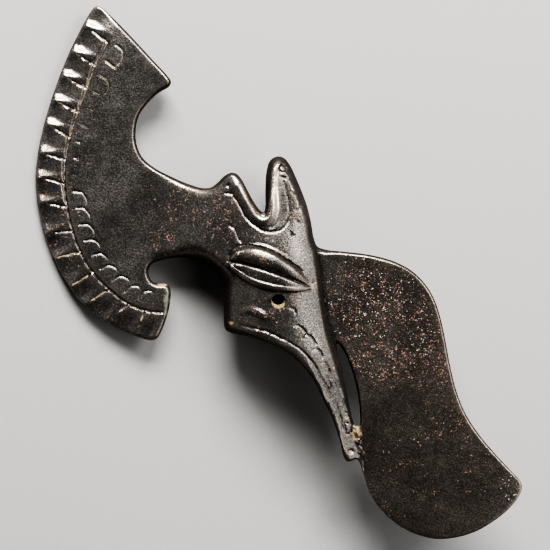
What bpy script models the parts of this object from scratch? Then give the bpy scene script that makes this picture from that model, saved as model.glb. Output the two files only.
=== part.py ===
"""Cast bronze shaft-hole axe head, lying on its side.

One casting, alike on both faces. A fluted crescent crest stands behind the socket, a short neck joins
the two, and a broad drooping blade hangs in front. The socket is dressed as two open mouths that share
one bean-shaped eye: the upper mouth is a notch, the lower one is the way in for the haft, and its long
beak runs down beside the blade, with a slit between them.

The casting is drawn in its own plane: x towards the blade, y up the haft, z across the thickness, with
the origin in the middle of the peg hole. Every drawn length is in millimetres. The half thickness at a
place is worked out by half_thickness, and the solid is that relief above and below the plane z = 0.
"""
import math

import bmesh
import bpy
import numpy as np
from mathutils import Euler, Matrix, Vector
from mathutils.geometry import delaunay_2d_cdt

MM = 0.001

# Socket for the haft: an oval bore, blind at the top, with a peg hole through both walls.
# Its top and foot are y, half width in the casting's plane and half width across it.
SOCKET_TOP = (11.5, 9.2, 7.2)
SOCKET_FOOT = (-34.0, 13.0, 9.2)
SOCKET_SIDES = 32
PEG_HOLE_RADIUS = 2.0
PEG_HOLE_SIDES = 20

# Plates: half thickness at the edge, how much it gains in its bevel, the bevel's run, and the slow taper.
BLADE_PLATE = (0.45, 0.75, 6.0, 0.030)
CREST_PLATE = (1.05, 0.60, 5.0, 0.014)
TUBE_BLEND = 1.8
NECK_BLEND = 1.3
# Across the head, the crest's relief gives way to the blade's between these two places.
CREST_TO_BLADE = (-2.0, 8.0)

# Flutes along the crest's outer edge, top to bottom: their widths along the groove line.
FLUTE_WIDTHS = (7.3, 6.9, 6.9, 7.5, 6.3, 6.7, 6.4, 6.9, 6.3, 6.8, 6.4, 7.0, 5.2)
FLUTE_FIRST = 2.0
FLUTE_SLANT = math.radians(10.0)
FLUTE_DEPTH = 0.80
# A flute is deepest below its middle, so its lower side is the steeper one.
FLUTE_LEAN = 1.35
FLUTE_FLOOR = 0.8
# How far out from the groove line a flute takes to form, and the share of its depth that it has there.
FLUTE_ONSET = 2.6
FLUTE_INNER_SHARE = 0.75
FLUTE_FULL = (2.0, 7.0)

# Scales inside the groove line: their width along it, and their arch as shares of that width along the
# line and millimetres in from it. The ones in the middle of the row are worn away.
SCALES = (0, 1, 2, 9, 10, 11, 12, 13, 14, 15)
SCALE_WIDTH = 4.93
SCALE_FIRST = 1.6
SCALE_ARCH = ((0.0, 2.1), (0.05, 3.6), (0.16, 4.7), (0.6, 5.6), (1.0, 5.1))
SCALE_DEPTH = 0.28

# Incised lines: half width, depth, and the run over which they fade out at their ends.
LINE_HALF_WIDTH = 0.42
LINE_DEPTH = 0.40
LINE_FADE = 1.6

# Eye: its left corner, tilt and length, and the rise or fall of each of its arcs.
EYE_CORNER = (-13.9, 11.2)
EYE_TILT = math.radians(-15.0)
EYE_LENGTH = 24.2
EYE_TOP = 7.0
EYE_SLIT = 0.9
EYE_LOWER_LINE = -2.7
EYE_LID = -5.2
EYE_DROOP = -0.7
# Its two lobes: height at the slit, gain towards the far side, and bulge between. Then the lid's ridge.
UPPER_LOBE = (-0.10, 0.20, 2.00)
LOWER_LOBE = (0.80, 0.20, 0.35)
LID_RIDGE = 2.10
# It rises at once from its blunt left end, over this share of its length, and sinks slowly to the right:
# the power of that share at which it sinks, and the power of what is left.
EYE_BLUNT_END = 0.09
EYE_LONG_END = (2.4, 0.75)

# How the head lies at rest: turned about its plane's x and y axes until it touches the floor.
REST_TURN = (math.radians(0.08), math.radians(-10.42))

# The outline, clockwise from the crest's tip, in stretches that make one smooth loop.
CREST_TOP = ((-50.4, 82.5), (-49.0, 81.7), (-43.3, 76.2), (-35.4, 67.7), (-30.9, 62.8), (-30.1, 61.5))
UPPER_BAY = (
    (-30.1, 61.5), (-30.5, 60.2), (-34.0, 58.0), (-37.0, 55.0), (-39.1, 51.8), (-40.0, 47.9),
    (-39.7, 43.7), (-38.1, 40.2), (-34.9, 37.4), (-30.4, 35.0), (-25.3, 32.8), (-21.1, 31.6), (-18.9, 31.8),
    (-17.1, 33.1), (-15.0, 35.1), (-13.2, 35.9), (-11.6, 35.5), (-10.1, 33.7), (-8.5, 30.7), (-6.6, 27.3),
    (-5.0, 25.2), (-4.1, 24.7),
)
UPPER_JAW = (
    (-4.1, 24.7), (-3.7, 26.2), (-3.7, 31.6), (-3.4, 36.1), (-2.4, 39.3), (-0.4, 40.5), (1.5, 40.1),
    (3.2, 38.1), (4.9, 34.6), (6.6, 30.5), (8.0, 26.6), (9.1, 22.1), (9.9, 17.6), (10.9, 15.3),
    (13.2, 14.4),
)
BLADE_BACK = (
    (13.2, 14.4), (18.6, 13.8), (25.1, 13.0), (31.8, 11.3), (37.1, 8.6), (41.0, 4.8), (43.5, 0.7),
    (45.2, -4.2), (46.6, -10.4), (48.0, -17.9), (49.8, -25.2), (52.5, -31.8), (56.4, -37.7), (61.5, -43.7),
    (66.2, -48.7), (67.7, -50.4),
)
CUTTING_EDGE = (
    (67.7, -50.4), (68.2, -52.1), (67.3, -54.7), (64.3, -58.4), (60.3, -61.6), (55.3, -64.5), (49.7, -66.2),
    (44.1, -66.6), (38.2, -65.2), (32.9, -62.3), (28.4, -58.1), (25.3, -53.2), (23.6, -47.9), (22.7, -45.2),
)
BEAK = (
    (22.7, -45.2), (22.0, -44.7), (20.6, -45.0), (19.2, -45.0), (18.3, -43.6), (17.1, -38.9), (15.0, -32.8),
    (12.3, -27.2), (9.1, -21.5), (5.4, -17.3), (1.5, -14.5), (-3.5, -12.1), (-8.5, -10.2), (-13.4, -8.8),
)
HEAD_BACK = (
    (-13.4, -8.8), (-14.7, -8.1), (-15.2, -6.6), (-15.3, 0.3), (-15.5, 3.4), (-16.4, 6.3), (-18.3, 9.0),
    (-21.1, 10.9), (-24.8, 12.0), (-29.0, 12.1), (-33.2, 11.3), (-35.4, 10.4), (-36.4, 8.9), (-36.2, 6.9),
    (-35.2, 5.4), (-33.5, 4.8), (-31.8, 4.8), (-30.7, 4.2),
)
CREST_END = ((-30.7, 4.2), (-30.2, 2.7), (-30.4, -0.8), (-31.4, -4.8), (-32.8, -8.4), (-34.0, -10.4))
CREST_EDGE = (
    (-34.0, -10.4), (-35.6, -11.0), (-39.3, -10.1), (-44.4, -8.0), (-50.0, -4.8), (-55.0, -0.7),
    (-59.2, 4.9), (-62.9, 11.8), (-65.8, 19.6), (-67.5, 27.4), (-68.0, 34.7), (-67.3, 41.7), (-65.5, 50.1),
    (-62.7, 59.1), (-59.2, 68.2), (-55.7, 75.5), (-52.6, 81.0), (-51.5, 82.3), (-50.4, 82.5),
)
OUTLINE = (
    CREST_TOP, UPPER_BAY, UPPER_JAW, BLADE_BACK, CUTTING_EDGE, BEAK, HEAD_BACK, CREST_END, CREST_EDGE,
)
SLIT = (
    (16.4, -11.7), (16.6, -14.6), (17.5, -17.9), (18.7, -23.0), (19.6, -28.3), (20.7, -33.0), (21.4, -34.7),
    (22.3, -35.1), (22.8, -34.2), (22.8, -31.1), (22.2, -26.0), (20.9, -20.6), (19.1, -15.7), (17.4, -12.7),
    (16.4, -11.7),
)

# Incised lines.
GROOVE_LINE = (
    (-46.7, 74.0), (-48.8, 69.8), (-51.1, 65.8), (-53.5, 59.4), (-55.9, 52.9), (-58.1, 45.7), (-59.4, 39.6),
    (-59.7, 32.9), (-59.0, 26.5), (-57.5, 19.8), (-55.4, 13.9), (-51.9, 8.0), (-47.5, 3.4), (-41.9, -0.8),
    (-37.3, -2.6), (-31.9, -3.4),
)
UPPER_LIP_LINE = (
    (-12.7, 29.5), (-10.8, 26.7), (-9.4, 23.9), (-7.6, 21.9), (-5.7, 20.5), (-3.9, 19.5), (-2.0, 19.4),
    (-0.4, 19.6), (1.2, 20.5), (2.4, 22.3), (3.0, 24.6), (3.0, 27.4), (2.4, 30.2), (1.7, 33.0), (0.8, 34.4),
)
LOWER_LIP_LINE = (
    (-10.6, -6.6), (-8.3, -7.2), (-5.7, -7.8), (-3.0, -8.5), (-0.3, -9.7), (2.4, -11.1), (6.4, -13.6),
    (9.4, -16.8), (12.5, -22.4), (15.6, -28.6), (17.1, -33.1), (18.6, -37.7), (19.2, -40.1),
)

# The socket tube and its beak, down the haft's line: y, then its middle x, half width and half thickness.
TUBE_STATIONS = (
    (46.0, -4.8, 9.2, 4.6), (39.5, -4.8, 10.6, 5.9), (34.0, -4.5, 11.3, 7.2), (28.3, -3.6, 11.9, 8.5),
    (22.0, -2.6, 12.8, 9.6), (16.0, -1.7, 13.6, 10.4), (9.0, -0.8, 14.4, 10.9), (0.0, 0.2, 15.6, 11.0),
    (-8.0, 0.7, 15.7, 10.9), (-14.6, 3.6, 13.4, 10.3), (-21.0, 8.4, 10.2, 8.9), (-28.0, 12.6, 7.4, 7.0),
    (-34.0, 15.7, 5.4, 5.4), (-40.0, 18.0, 4.3, 4.3), (-43.5, 19.4, 3.8, 3.6), (-46.5, 20.4, 3.6, 2.2),
    (-50.0, 21.5, 3.4, 0.3), (-60.0, 24.0, 3.0, 0.2),
)
TUBE_FLANK = 0.88

# The neck's half thickness from crest to head, as x and half thickness. Below zero it adds nothing. Its
# underside drops by the last figure over the two heights before it, and so does its end behind the upper
# mouth, over the two places and above the two heights given.
NECK_STATIONS = (
    (-70.0, -9.0), (-50.0, -4.0), (-44.0, -1.0), (-38.0, 1.2), (-32.0, 3.0), (-26.0, 4.9), (-20.0, 6.7),
    (-14.0, 7.9), (-6.0, 8.3), (4.0, 7.0), (8.0, 5.0),
)
NECK_UNDERSIDE = (-2.0, 10.0, 12.0)
NECK_END = ((-7.0, 0.0), (19.0, 25.0))

# How far the edge's rounding reaches in from the outline, by place: x, y, reach.
EDGE_ROUNDING = (
    (-55.0, 70.0, 1.1), (-64.0, 30.0, 1.1), (-42.0, -6.0, 1.1), (-32.0, 61.0, 1.2), (-39.5, 46.0, 1.6),
    (-31.0, 35.0, 3.0), (-20.0, 31.5, 3.8), (-13.0, 35.0, 2.8), (-6.0, 27.0, 3.0), (-3.0, 33.0, 3.0),
    (0.0, 40.0, 3.0), (6.0, 31.0, 2.6), (10.0, 18.0, 2.0), (20.0, 13.5, 1.2), (42.0, 2.0, 1.2),
    (50.0, -26.0, 1.2), (66.0, -50.0, 1.1), (44.0, -66.0, 1.0), (24.0, -50.0, 1.0), (20.0, -44.0, 1.6),
    (15.0, -33.0, 2.2), (9.0, -21.5, 2.2), (0.0, -14.0, 1.9), (-12.0, -9.0, 1.9), (-15.0, 0.0, 2.0),
    (-17.5, 8.0, 4.0), (-24.0, 12.0, 4.6), (-31.0, 12.0, 2.6), (-36.5, 8.0, 1.2), (-31.0, 0.0, 1.2),
    (18.0, -15.0, 1.0), (20.0, -26.0, 1.0), (22.0, -34.0, 0.9),
)
RIM_ANGLES = (32.0, 62.0, 90.0)

# Spacing of the mesh's points. The head's closer ones run this far down the beak.
HEAD_FOOT_Y = -50.0
HEAD_MARGIN = -9.0
FLUTE_ROWS = (0.07, 0.27, 0.48, 0.68, 0.88)
FLUTE_SHARES = (0.0, 0.25, 0.5, 0.75)
FLUTE_ROWS_SHORT = 1.4
CURVE_TOLERANCE = 0.07
CURVE_LONGEST = 4.6
CREST_EDGE_LONGEST = 1.75
EYE_STEPS = 14
EYE_ROWS = ((0.3, -0.03, -1.1, -2.6, -4.2), (0.55, 0.0, -0.4, -1.3, -2.4), (0.03, -0.03), (0.03, -0.3))
FLANK_RUN = (11.5, -11.0, 11)
FLANK_ROWS = (0.86, 0.97, 1.08)
FEATURE_STEP = 1.8
PLATE_STEP = 5.4
HEAD_STEP = 2.1
RIM_STEP = 1.15

BRONZE = {"color": (0.055, 0.045, 0.038, 1.0), "metallic": 0.85, "roughness": 0.42}


def clear_scene():
    """Take away whatever the file opened with."""
    for obj in list(bpy.data.objects):
        bpy.data.objects.remove(obj, do_unlink=True)


def smooth_curve(points, samples=24, closed=False):
    """Points of a centripetal Catmull-Rom curve through the given points, as an array."""
    knots = np.array(points, dtype=float)
    before = knots[-2] if closed else 2.0 * knots[0] - knots[1]
    after = knots[1] if closed else 2.0 * knots[-1] - knots[-2]
    knots = np.vstack([before, knots, after])
    t = np.linspace(0.0, 1.0, samples, endpoint=False)[:, None]
    pieces = []
    for a, b, c, d in zip(knots, knots[1:], knots[2:], knots[3:]):
        gap_ab, gap_bc, gap_cd = (math.sqrt(np.linalg.norm(q - p)) for p, q in ((a, b), (b, c), (c, d)))
        leave = ((c - b) / gap_bc - (c - a) / (gap_ab + gap_bc) + (b - a) / gap_ab) * gap_bc
        arrive = ((d - c) / gap_cd - (d - b) / (gap_bc + gap_cd) + (c - b) / gap_bc) * gap_bc
        cubic = 2.0 * b - 2.0 * c + leave + arrive
        square = 3.0 * c - 3.0 * b - 2.0 * leave - arrive
        pieces.append(((cubic * t + square) * t + leave) * t + b)
    return np.vstack(pieces + [knots[-2:-1]])


def thin_curve(curve, tolerance, longest):
    """The fewest of a curve's points that stay within the tolerance of it and not too far apart."""
    kept = [0]
    while kept[-1] < len(curve) - 1:
        start = kept[-1]
        end = start + 1
        while end < len(curve) - 1:
            chord = curve[end + 1] - curve[start]
            length = np.linalg.norm(chord)
            between = curve[start + 1:end + 1] - curve[start]
            off = np.abs(between[:, 0] * chord[1] - between[:, 1] * chord[0]) / max(length, 1e-9)
            if off.max() > tolerance or length > longest:
                break
            end += 1
        kept.append(end)
    return curve[kept]


def even_curve(curve, step):
    """The curve's points, set about a step apart along it."""
    along = np.concatenate([[0.0], np.cumsum(np.linalg.norm(np.diff(curve, axis=0), axis=1))])
    places = np.linspace(0.0, along[-1], max(2, round(along[-1] / step) + 1))
    return np.column_stack([np.interp(places, along, curve[:, k]) for k in (0, 1)])


def nearest_on(points, curve):
    """For each point: distance to the curve, side of it, and length along it to the nearest place."""
    starts, ends = curve[:-1], curve[1:]
    runs = ends - starts
    lengths = np.linalg.norm(runs, axis=1)
    before = np.concatenate([[0.0], np.cumsum(lengths)[:-1]])
    distance, side, along = (np.empty(len(points)) for _ in range(3))
    for first in range(0, len(points), 2000):
        block = slice(first, first + 2000)
        away = points[block, None, :] - starts[None]
        t = np.clip((away * runs).sum(axis=2) / np.maximum(lengths, 1e-9) ** 2, 0.0, 1.0)
        gaps = np.linalg.norm(away - t[..., None] * runs, axis=2)
        best = gaps.argmin(axis=1)
        rows = np.arange(len(best))
        distance[block] = gaps[rows, best]
        picked = away[rows, best]
        side[block] = runs[best, 0] * picked[:, 1] - runs[best, 1] * picked[:, 0]
        along[block] = before[best] + t[rows, best] * lengths[best]
    return distance, np.sign(side), along


def inside(points, loop):
    """Which points lie inside a closed loop."""
    x, y = points[:, :1], points[:, 1:]
    x0, y0 = loop[:-1].T
    x1, y1 = loop[1:].T
    rise = np.where(y1 == y0, 1e-12, y1 - y0)
    crossed = ((y0 > y) != (y1 > y)) & (x < x0 + (y - y0) * (x1 - x0) / rise)
    return crossed.sum(axis=1) % 2 == 1


def ease(value, low, high):
    """0 below low, 1 above high and a smooth S between."""
    t = np.clip((value - low) / (high - low), 0.0, 1.0)
    return t * t * (3.0 - 2.0 * t)


def blend_up(a, b, softness):
    """The larger of two heights, with a fillet where they cross."""
    return 0.5 * (a + b + np.sqrt((a - b) ** 2 + softness ** 2))


def profile(place, stations, column=1):
    """A measure at each place, read from a smooth curve through its stations."""
    curve = smooth_curve(sorted((row[0], row[column]) for row in stations), samples=8)
    return np.interp(place, curve[:, 0], curve[:, 1])


def tube_height(x, y):
    """Half thickness of the oval tube and beak, falling below zero outside them."""
    middle, half_width, crown_height = (profile(y, TUBE_STATIONS, column) for column in (1, 2, 3))
    across = np.abs((x - middle) / half_width)
    crown = np.sqrt(1.0 - np.minimum(across, TUBE_FLANK) ** 2)
    flank_fall = TUBE_FLANK / math.sqrt(1.0 - TUBE_FLANK ** 2)
    return crown_height * (crown - flank_fall * np.maximum(across - TUBE_FLANK, 0.0))


def neck_height(x, y):
    """Half thickness of the bar between crest and head, dropping away below it and behind the mouth."""
    low, high, drop = NECK_UNDERSIDE
    behind = ease(x, *NECK_END[0]) * ease(y, *NECK_END[1])
    return profile(x, NECK_STATIONS) - drop * (1.0 - ease(y, low, high)) - drop * behind


def plate_height(distance, plate):
    """Half thickness of a plate at a distance from its thin edge."""
    edge, gain, run, taper = plate
    return edge + gain * (1.0 - np.exp(-distance / run)) + taper * distance


def edge_reach(points):
    """How far in from the outline the edge's rounding reaches, blended from the places given."""
    places = np.array(EDGE_ROUNDING)
    gaps = np.linalg.norm(points[:, None, :] - places[None, :, :2], axis=2)
    weights = 1.0 / (gaps + 0.5) ** 4
    return (weights * places[:, 2]).sum(axis=1) / weights.sum(axis=1)


def place_on(curve, places, reach):
    """Points on a curve at lengths along it, and the unit direction in which it runs through each."""
    along = np.concatenate([[0.0], np.cumsum(np.linalg.norm(np.diff(curve, axis=0), axis=1))])
    back, here, ahead = (
        np.column_stack([np.interp(places + shift, along, curve[:, axis]) for axis in (0, 1)])
        for shift in (-reach, 0.0, reach)
    )
    run = ahead - back
    return here, run / np.linalg.norm(run, axis=1)[:, None]


def flute_rays():
    """The line between each two flutes: where it leaves the groove line, and which way it runs."""
    starts, run = place_on(smooth_curve(GROOVE_LINE), np.cumsum((FLUTE_FIRST,) + FLUTE_WIDTHS), 1.5)
    cos, sin = math.cos(FLUTE_SLANT), math.sin(FLUTE_SLANT)
    outward = np.column_stack([run[:, 1] * cos - run[:, 0] * sin, -run[:, 0] * cos - run[:, 1] * sin])
    return list(zip(starts, outward))


def flute_fall(points):
    """How deep the flutes are scooped at each point."""
    groove = smooth_curve(GROOVE_LINE)
    distance, side, _ = nearest_on(points, groove)
    outside = np.where(side < 0.0, distance, 0.0)
    rays = flute_rays()
    past = np.array([
        (points[:, 1] - start[1]) * out[0] - (points[:, 0] - start[0]) * out[1] for start, out in rays
    ])
    steps = np.vstack([past[0] + FLUTE_WIDTHS[0], past, past[-1] - FLUTE_WIDTHS[-1]])
    fall = np.zeros(len(points))
    for upper, lower in zip(steps, steps[1:]):
        within = (upper > 0.0) & (lower <= 0.0)
        share = upper / np.maximum(upper - lower, 1e-9)
        scoop = np.sin(math.pi * np.clip(share, 0.0, 1.0) ** FLUTE_LEAN) ** FLUTE_FLOOR
        fall = np.where(within, scoop, fall)
    deepen = FLUTE_INNER_SHARE + (1.0 - FLUTE_INNER_SHARE) * ease(outside, *FLUTE_FULL)
    return FLUTE_DEPTH * fall * deepen * ease(outside, 0.0, FLUTE_ONSET)


def incision(points, curve, depth=LINE_DEPTH):
    """Depth of a V-shaped line cut along a curve, fading out at its ends."""
    distance, _, along = nearest_on(points, curve)
    length = np.linalg.norm(np.diff(curve, axis=0), axis=1).sum()
    fade = ease(np.minimum(along, length - along), -0.2, LINE_FADE)
    return depth * fade * np.clip(1.0 - distance / LINE_HALF_WIDTH, 0.0, 1.0)


def scale_arches():
    """The curves of the row of scales inside the groove line."""
    curve = smooth_curve(GROOVE_LINE)
    shares, reaches = np.array(SCALE_ARCH).T
    arches = []
    for k in SCALES:
        here, run = place_on(curve, SCALE_FIRST + (k + shares) * SCALE_WIDTH, 0.5)
        arches.append(here + np.column_stack([-run[:, 1], run[:, 0]]) * reaches[:, None])
    return arches


def eye_frame(points):
    """The points in the eye's own frame: the share of its length, and how far above its long axis."""
    away = points - np.array(EYE_CORNER)
    along = (away[:, 0] * math.cos(EYE_TILT) + away[:, 1] * math.sin(EYE_TILT)) / EYE_LENGTH
    above = away[:, 1] * math.cos(EYE_TILT) - away[:, 0] * math.sin(EYE_TILT)
    return along, above


def eye_arc(along, rise, lean=1.0, fullness=1.0):
    """Height above the eye's long axis of an arc that joins its two corners."""
    share = np.clip(along, 0.0, 1.0)
    return rise * np.sin(math.pi * share ** lean) ** fullness + EYE_DROOP * share ** 2


def eye_arcs(along):
    """The four arcs of the eye, top to bottom."""
    top = eye_arc(along, EYE_TOP, 0.68, 0.5)
    slit = eye_arc(along, EYE_SLIT, 0.8)
    lower_line = eye_arc(along, EYE_LOWER_LINE, 1.0, 0.85)
    lid = eye_arc(along, EYE_LID, 0.82, 0.62)
    return top, slit, lower_line, lid


def share_between(value, low, high):
    """How far a value has come from low to high, from 0 to 1."""
    return np.clip((value - low) / np.where(np.abs(high - low) < 0.05, 0.05, high - low), 0.0, 1.0)


def eye_rise(points):
    """How far the eye stands above the head: two lobes like a bean's, and a lid below them."""
    along, above = eye_frame(points)
    top, slit, lower_line, lid = eye_arcs(along)
    upper = share_between(above, slit, top)
    lower = share_between(slit - above, 0.0, slit - lower_line)
    below = share_between(lower_line - above, 0.0, lower_line - lid)
    share = np.clip(along, 0.0, 1.0)
    sink, fullness = EYE_LONG_END
    blunt_end = np.sqrt(1.0 - (1.0 - np.minimum(share / EYE_BLUNT_END, 1.0)) ** 2)
    ends = blunt_end * (1.0 - share ** sink) ** fullness
    base, gain, bulge = UPPER_LOBE
    upper_lobe = base + gain * upper + bulge * np.sin(math.pi * upper) ** 0.7
    base, gain, bulge = LOWER_LOBE
    lower_lobe = base + gain * lower + bulge * np.sin(math.pi * lower)
    lid_slope = LID_RIDGE * np.sqrt(1.0 - below ** 2)
    rise = ends * np.where(above > slit, upper_lobe, np.where(above > lower_line, lower_lobe, lid_slope))
    on_eye = (along > 0.0) & (along < 1.0) & (above < top) & (above > lid)
    return np.where(on_eye, rise, 0.0)


def half_thickness(points, outline, slit):
    """Half thickness of the casting at each point of its plane."""
    x, y = points.T
    crest = plate_height(nearest_on(points, smooth_curve(CREST_EDGE))[0], CREST_PLATE)
    crest = crest - flute_fall(points) - incision(points, smooth_curve(GROOVE_LINE))
    for arch in scale_arches():
        crest = crest - incision(points, arch, SCALE_DEPTH)
    crest = blend_up(crest, neck_height(x, y), NECK_BLEND)
    blade = plate_height(nearest_on(points, smooth_curve(CUTTING_EDGE))[0], BLADE_PLATE)
    plate = crest + (blade - crest) * ease(x, *CREST_TO_BLADE)
    height = blend_up(plate, tube_height(x, y), TUBE_BLEND)
    height = height + eye_rise(points)
    for line in (UPPER_LIP_LINE, LOWER_LIP_LINE):
        height = height - incision(points, smooth_curve(line))
    reach = edge_reach(points)
    edge = np.minimum(nearest_on(points, outline)[0], nearest_on(points, slit)[0])
    rounding = np.sqrt(1.0 - (1.0 - np.minimum(edge / reach, 1.0)) ** 2)
    return height * rounding


def inward(loop):
    """The unit direction that points into the metal at each point of a closed loop."""
    run = np.roll(loop[:-1], -1, axis=0) - np.roll(loop[:-1], 1, axis=0)
    run = run / np.linalg.norm(run, axis=1)[:, None]
    return np.column_stack([run[:, 1], -run[:, 0]])


def rim_rows(loop, outline, slit):
    """Rows of points along a loop, one for each step of the edge's rounding, broken where they meet."""
    rows = []
    reach = edge_reach(loop[:-1])
    for angle in RIM_ANGLES:
        depth = reach * (1.0 - math.cos(math.radians(angle)))
        row = loop[:-1] + inward(loop) * depth[:, None]
        true_depth = np.minimum(nearest_on(row, outline)[0], nearest_on(row, slit)[0])
        kept = true_depth > 0.96 * depth
        row = np.vstack([row, row[:1]])
        kept = np.append(kept, kept[0])
        breaks = np.flatnonzero(np.diff(kept.astype(int))) + 1
        rows.extend(run for run, good in zip(np.split(row, breaks), np.split(kept, breaks)) if good[0])
    return rows


def side_rows(curve, offset):
    """A curve's points moved to either side of it."""
    run = np.gradient(curve, axis=0)
    run = run / np.linalg.norm(run, axis=1)[:, None]
    normal = np.column_stack([-run[:, 1], run[:, 0]])
    return [curve + normal * offset, curve - normal * offset]


def carving_lines():
    """The lines that the mesh must follow: incisions, flute ridges and the eye's arcs."""
    lines = []
    for line in (GROOVE_LINE, UPPER_LIP_LINE, LOWER_LIP_LINE):
        middle = even_curve(smooth_curve(line), FEATURE_STEP)
        lines.extend([middle] + side_rows(middle, LINE_HALF_WIDTH))
    for arch in scale_arches():
        lines.extend([arch] + side_rows(arch, LINE_HALF_WIDTH))
    edge = smooth_curve(CREST_EDGE)
    rays = flute_rays()
    for (start, out), (next_start, next_out) in zip(rays, rays[1:]):
        for share in FLUTE_SHARES:
            foot = start + (next_start - start) * share
            aim = out + (next_out - out) * share
            reach = nearest_on(foot[None], edge)[0] - FLUTE_ROWS_SHORT
            lines.append(np.array([foot + aim * reach * row for row in FLUTE_ROWS]))
    down = np.linspace(*FLANK_RUN)
    for share in FLANK_ROWS:
        flank = profile(down, TUBE_STATIONS, 1) + share * profile(down, TUBE_STATIONS, 2)
        lines.append(np.column_stack([flank, down]))
    along = 0.5 - 0.5 * np.cos(np.linspace(0.0, 1.0, EYE_STEPS) * math.pi)
    ends = np.sin(along * math.pi)
    cos, sin = math.cos(EYE_TILT), math.sin(EYE_TILT)
    for arc, offsets in zip(eye_arcs(along), EYE_ROWS):
        for offset in offsets:
            out, up = along * EYE_LENGTH, arc + offset * ends
            lines.append(np.column_stack([out * cos - up * sin, out * sin + up * cos]) + EYE_CORNER)
    return lines


def staggered_grid(low, high, step):
    """A grid of points between two corners, every other row shifted by half a step."""
    rows, columns = np.arange(low[1], high[1], step * math.sqrt(0.75)), np.arange(low[0], high[0], step)
    x, y = np.meshgrid(columns, rows)
    x[1::2] += step / 2.0
    return np.column_stack([x.ravel(), y.ravel()])


def fill_points(lines, outline, slit):
    """Loose points over the plates, closer ones over the head and rims, clear of the lines already set."""
    taken = np.vstack([even_curve(line, 0.8) for line in lines if len(line) > 1])
    chosen = []
    for step, where in ((RIM_STEP, "rim"), (HEAD_STEP, "head"), (PLATE_STEP, "plate")):
        grid = staggered_grid(outline.min(axis=0), outline.max(axis=0), step)
        grid = grid[inside(grid, outline) & ~inside(grid, slit)]
        clear = np.minimum(nearest_on(grid, outline)[0], nearest_on(grid, slit)[0])
        reach = edge_reach(grid)
        on_head = (tube_height(*grid.T) > HEAD_MARGIN) & (grid[:, 1] > HEAD_FOOT_Y)
        past_rim = clear > reach
        wanted = {
            "rim": ~past_rim & (clear > 0.45 * reach),
            "head": past_rim & on_head,
            "plate": past_rim & ~on_head,
        }
        grid = grid[wanted[where]]
        gaps = np.array([np.linalg.norm(taken - point, axis=1).min() for point in grid])
        chosen.append(grid[gaps > 0.6 * step])
        taken = np.vstack([taken, chosen[-1]])
    return np.vstack(chosen)


def plan_mesh(outline, slit):
    """Triangles over the casting's plane, following its outline and its carving."""
    lines = rim_rows(outline, outline, slit) + rim_rows(slit, outline, slit)
    for line in carving_lines():
        clear = np.minimum(nearest_on(line, outline)[0], nearest_on(line, slit)[0])
        lines.append(line[inside(line, outline) & (clear > 0.5)])
    loose = fill_points([outline, slit] + lines, outline, slit)
    points, edges = [], []
    for loop in (outline[:-1], slit[:-1]):
        first = len(points)
        points.extend(loop)
        edges.extend((first + k, first + (k + 1) % len(loop)) for k in range(len(loop)))
    for line in lines:
        first = len(points)
        points.extend(line)
        edges.extend((first + k, first + k + 1) for k in range(len(line) - 1))
    points.extend(loose)
    places, _, faces, _, _, _ = delaunay_2d_cdt([Vector(p) for p in points], edges, [], 1, 1e-4)
    places = np.array([tuple(p) for p in places])
    middles = np.array([places[list(face)].mean(axis=0) for face in faces])
    return places, [face for face, hollow in zip(faces, inside(middles, slit)) if not hollow]


def outline_loop(samples=24):
    """The whole outline as one closed loop, thinned where it runs straight."""
    knots = [point for stretch in OUTLINE for point in stretch[:-1]]
    curve = smooth_curve(knots + knots[:1], samples, closed=True)
    pieces = []
    first = 0
    for stretch in OUTLINE:
        last = first + (len(stretch) - 1) * samples
        longest = CREST_EDGE_LONGEST if stretch is CREST_EDGE else CURVE_LONGEST
        pieces.append(thin_curve(curve[first:last + 1], CURVE_TOLERANCE, longest)[:-1])
        first = last
    return np.vstack(pieces + [pieces[0][:1]])


def cast_body():
    """The relief on the upper face, mirrored to the lower one, as one closed mesh."""
    outline = outline_loop()
    slit = thin_curve(smooth_curve(SLIT, closed=True), CURVE_TOLERANCE, CURVE_LONGEST)
    places, faces = plan_mesh(outline, slit)
    heights = half_thickness(places, outline, slit)
    heights[heights < 0.02] = 0.0
    body = bmesh.new()
    verts = [body.verts.new((x * MM, y * MM, z * MM)) for (x, y), z in zip(places, heights)]
    for face in faces:
        body.faces.new([verts[k] for k in face])
    bmesh.ops.mirror(body, geom=body.verts[:] + body.faces[:], axis="Z", merge_dist=1e-7)
    bmesh.ops.recalc_face_normals(body, faces=body.faces[:])
    return body


def bronze_material():
    """Dark patinated bronze."""
    material = bpy.data.materials.new("dark_bronze")
    material.use_nodes = True
    shader = material.node_tree.nodes["Principled BSDF"]
    shader.inputs["Base Color"].default_value = BRONZE["color"]
    shader.inputs["Metallic"].default_value = BRONZE["metallic"]
    shader.inputs["Roughness"].default_value = BRONZE["roughness"]
    return material


def add_object(name, body):
    """A bmesh as a named object in the scene."""
    mesh = bpy.data.meshes.new(name)
    body.to_mesh(mesh)
    body.free()
    obj = bpy.data.objects.new(name, mesh)
    bpy.context.collection.objects.link(obj)
    return obj


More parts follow.
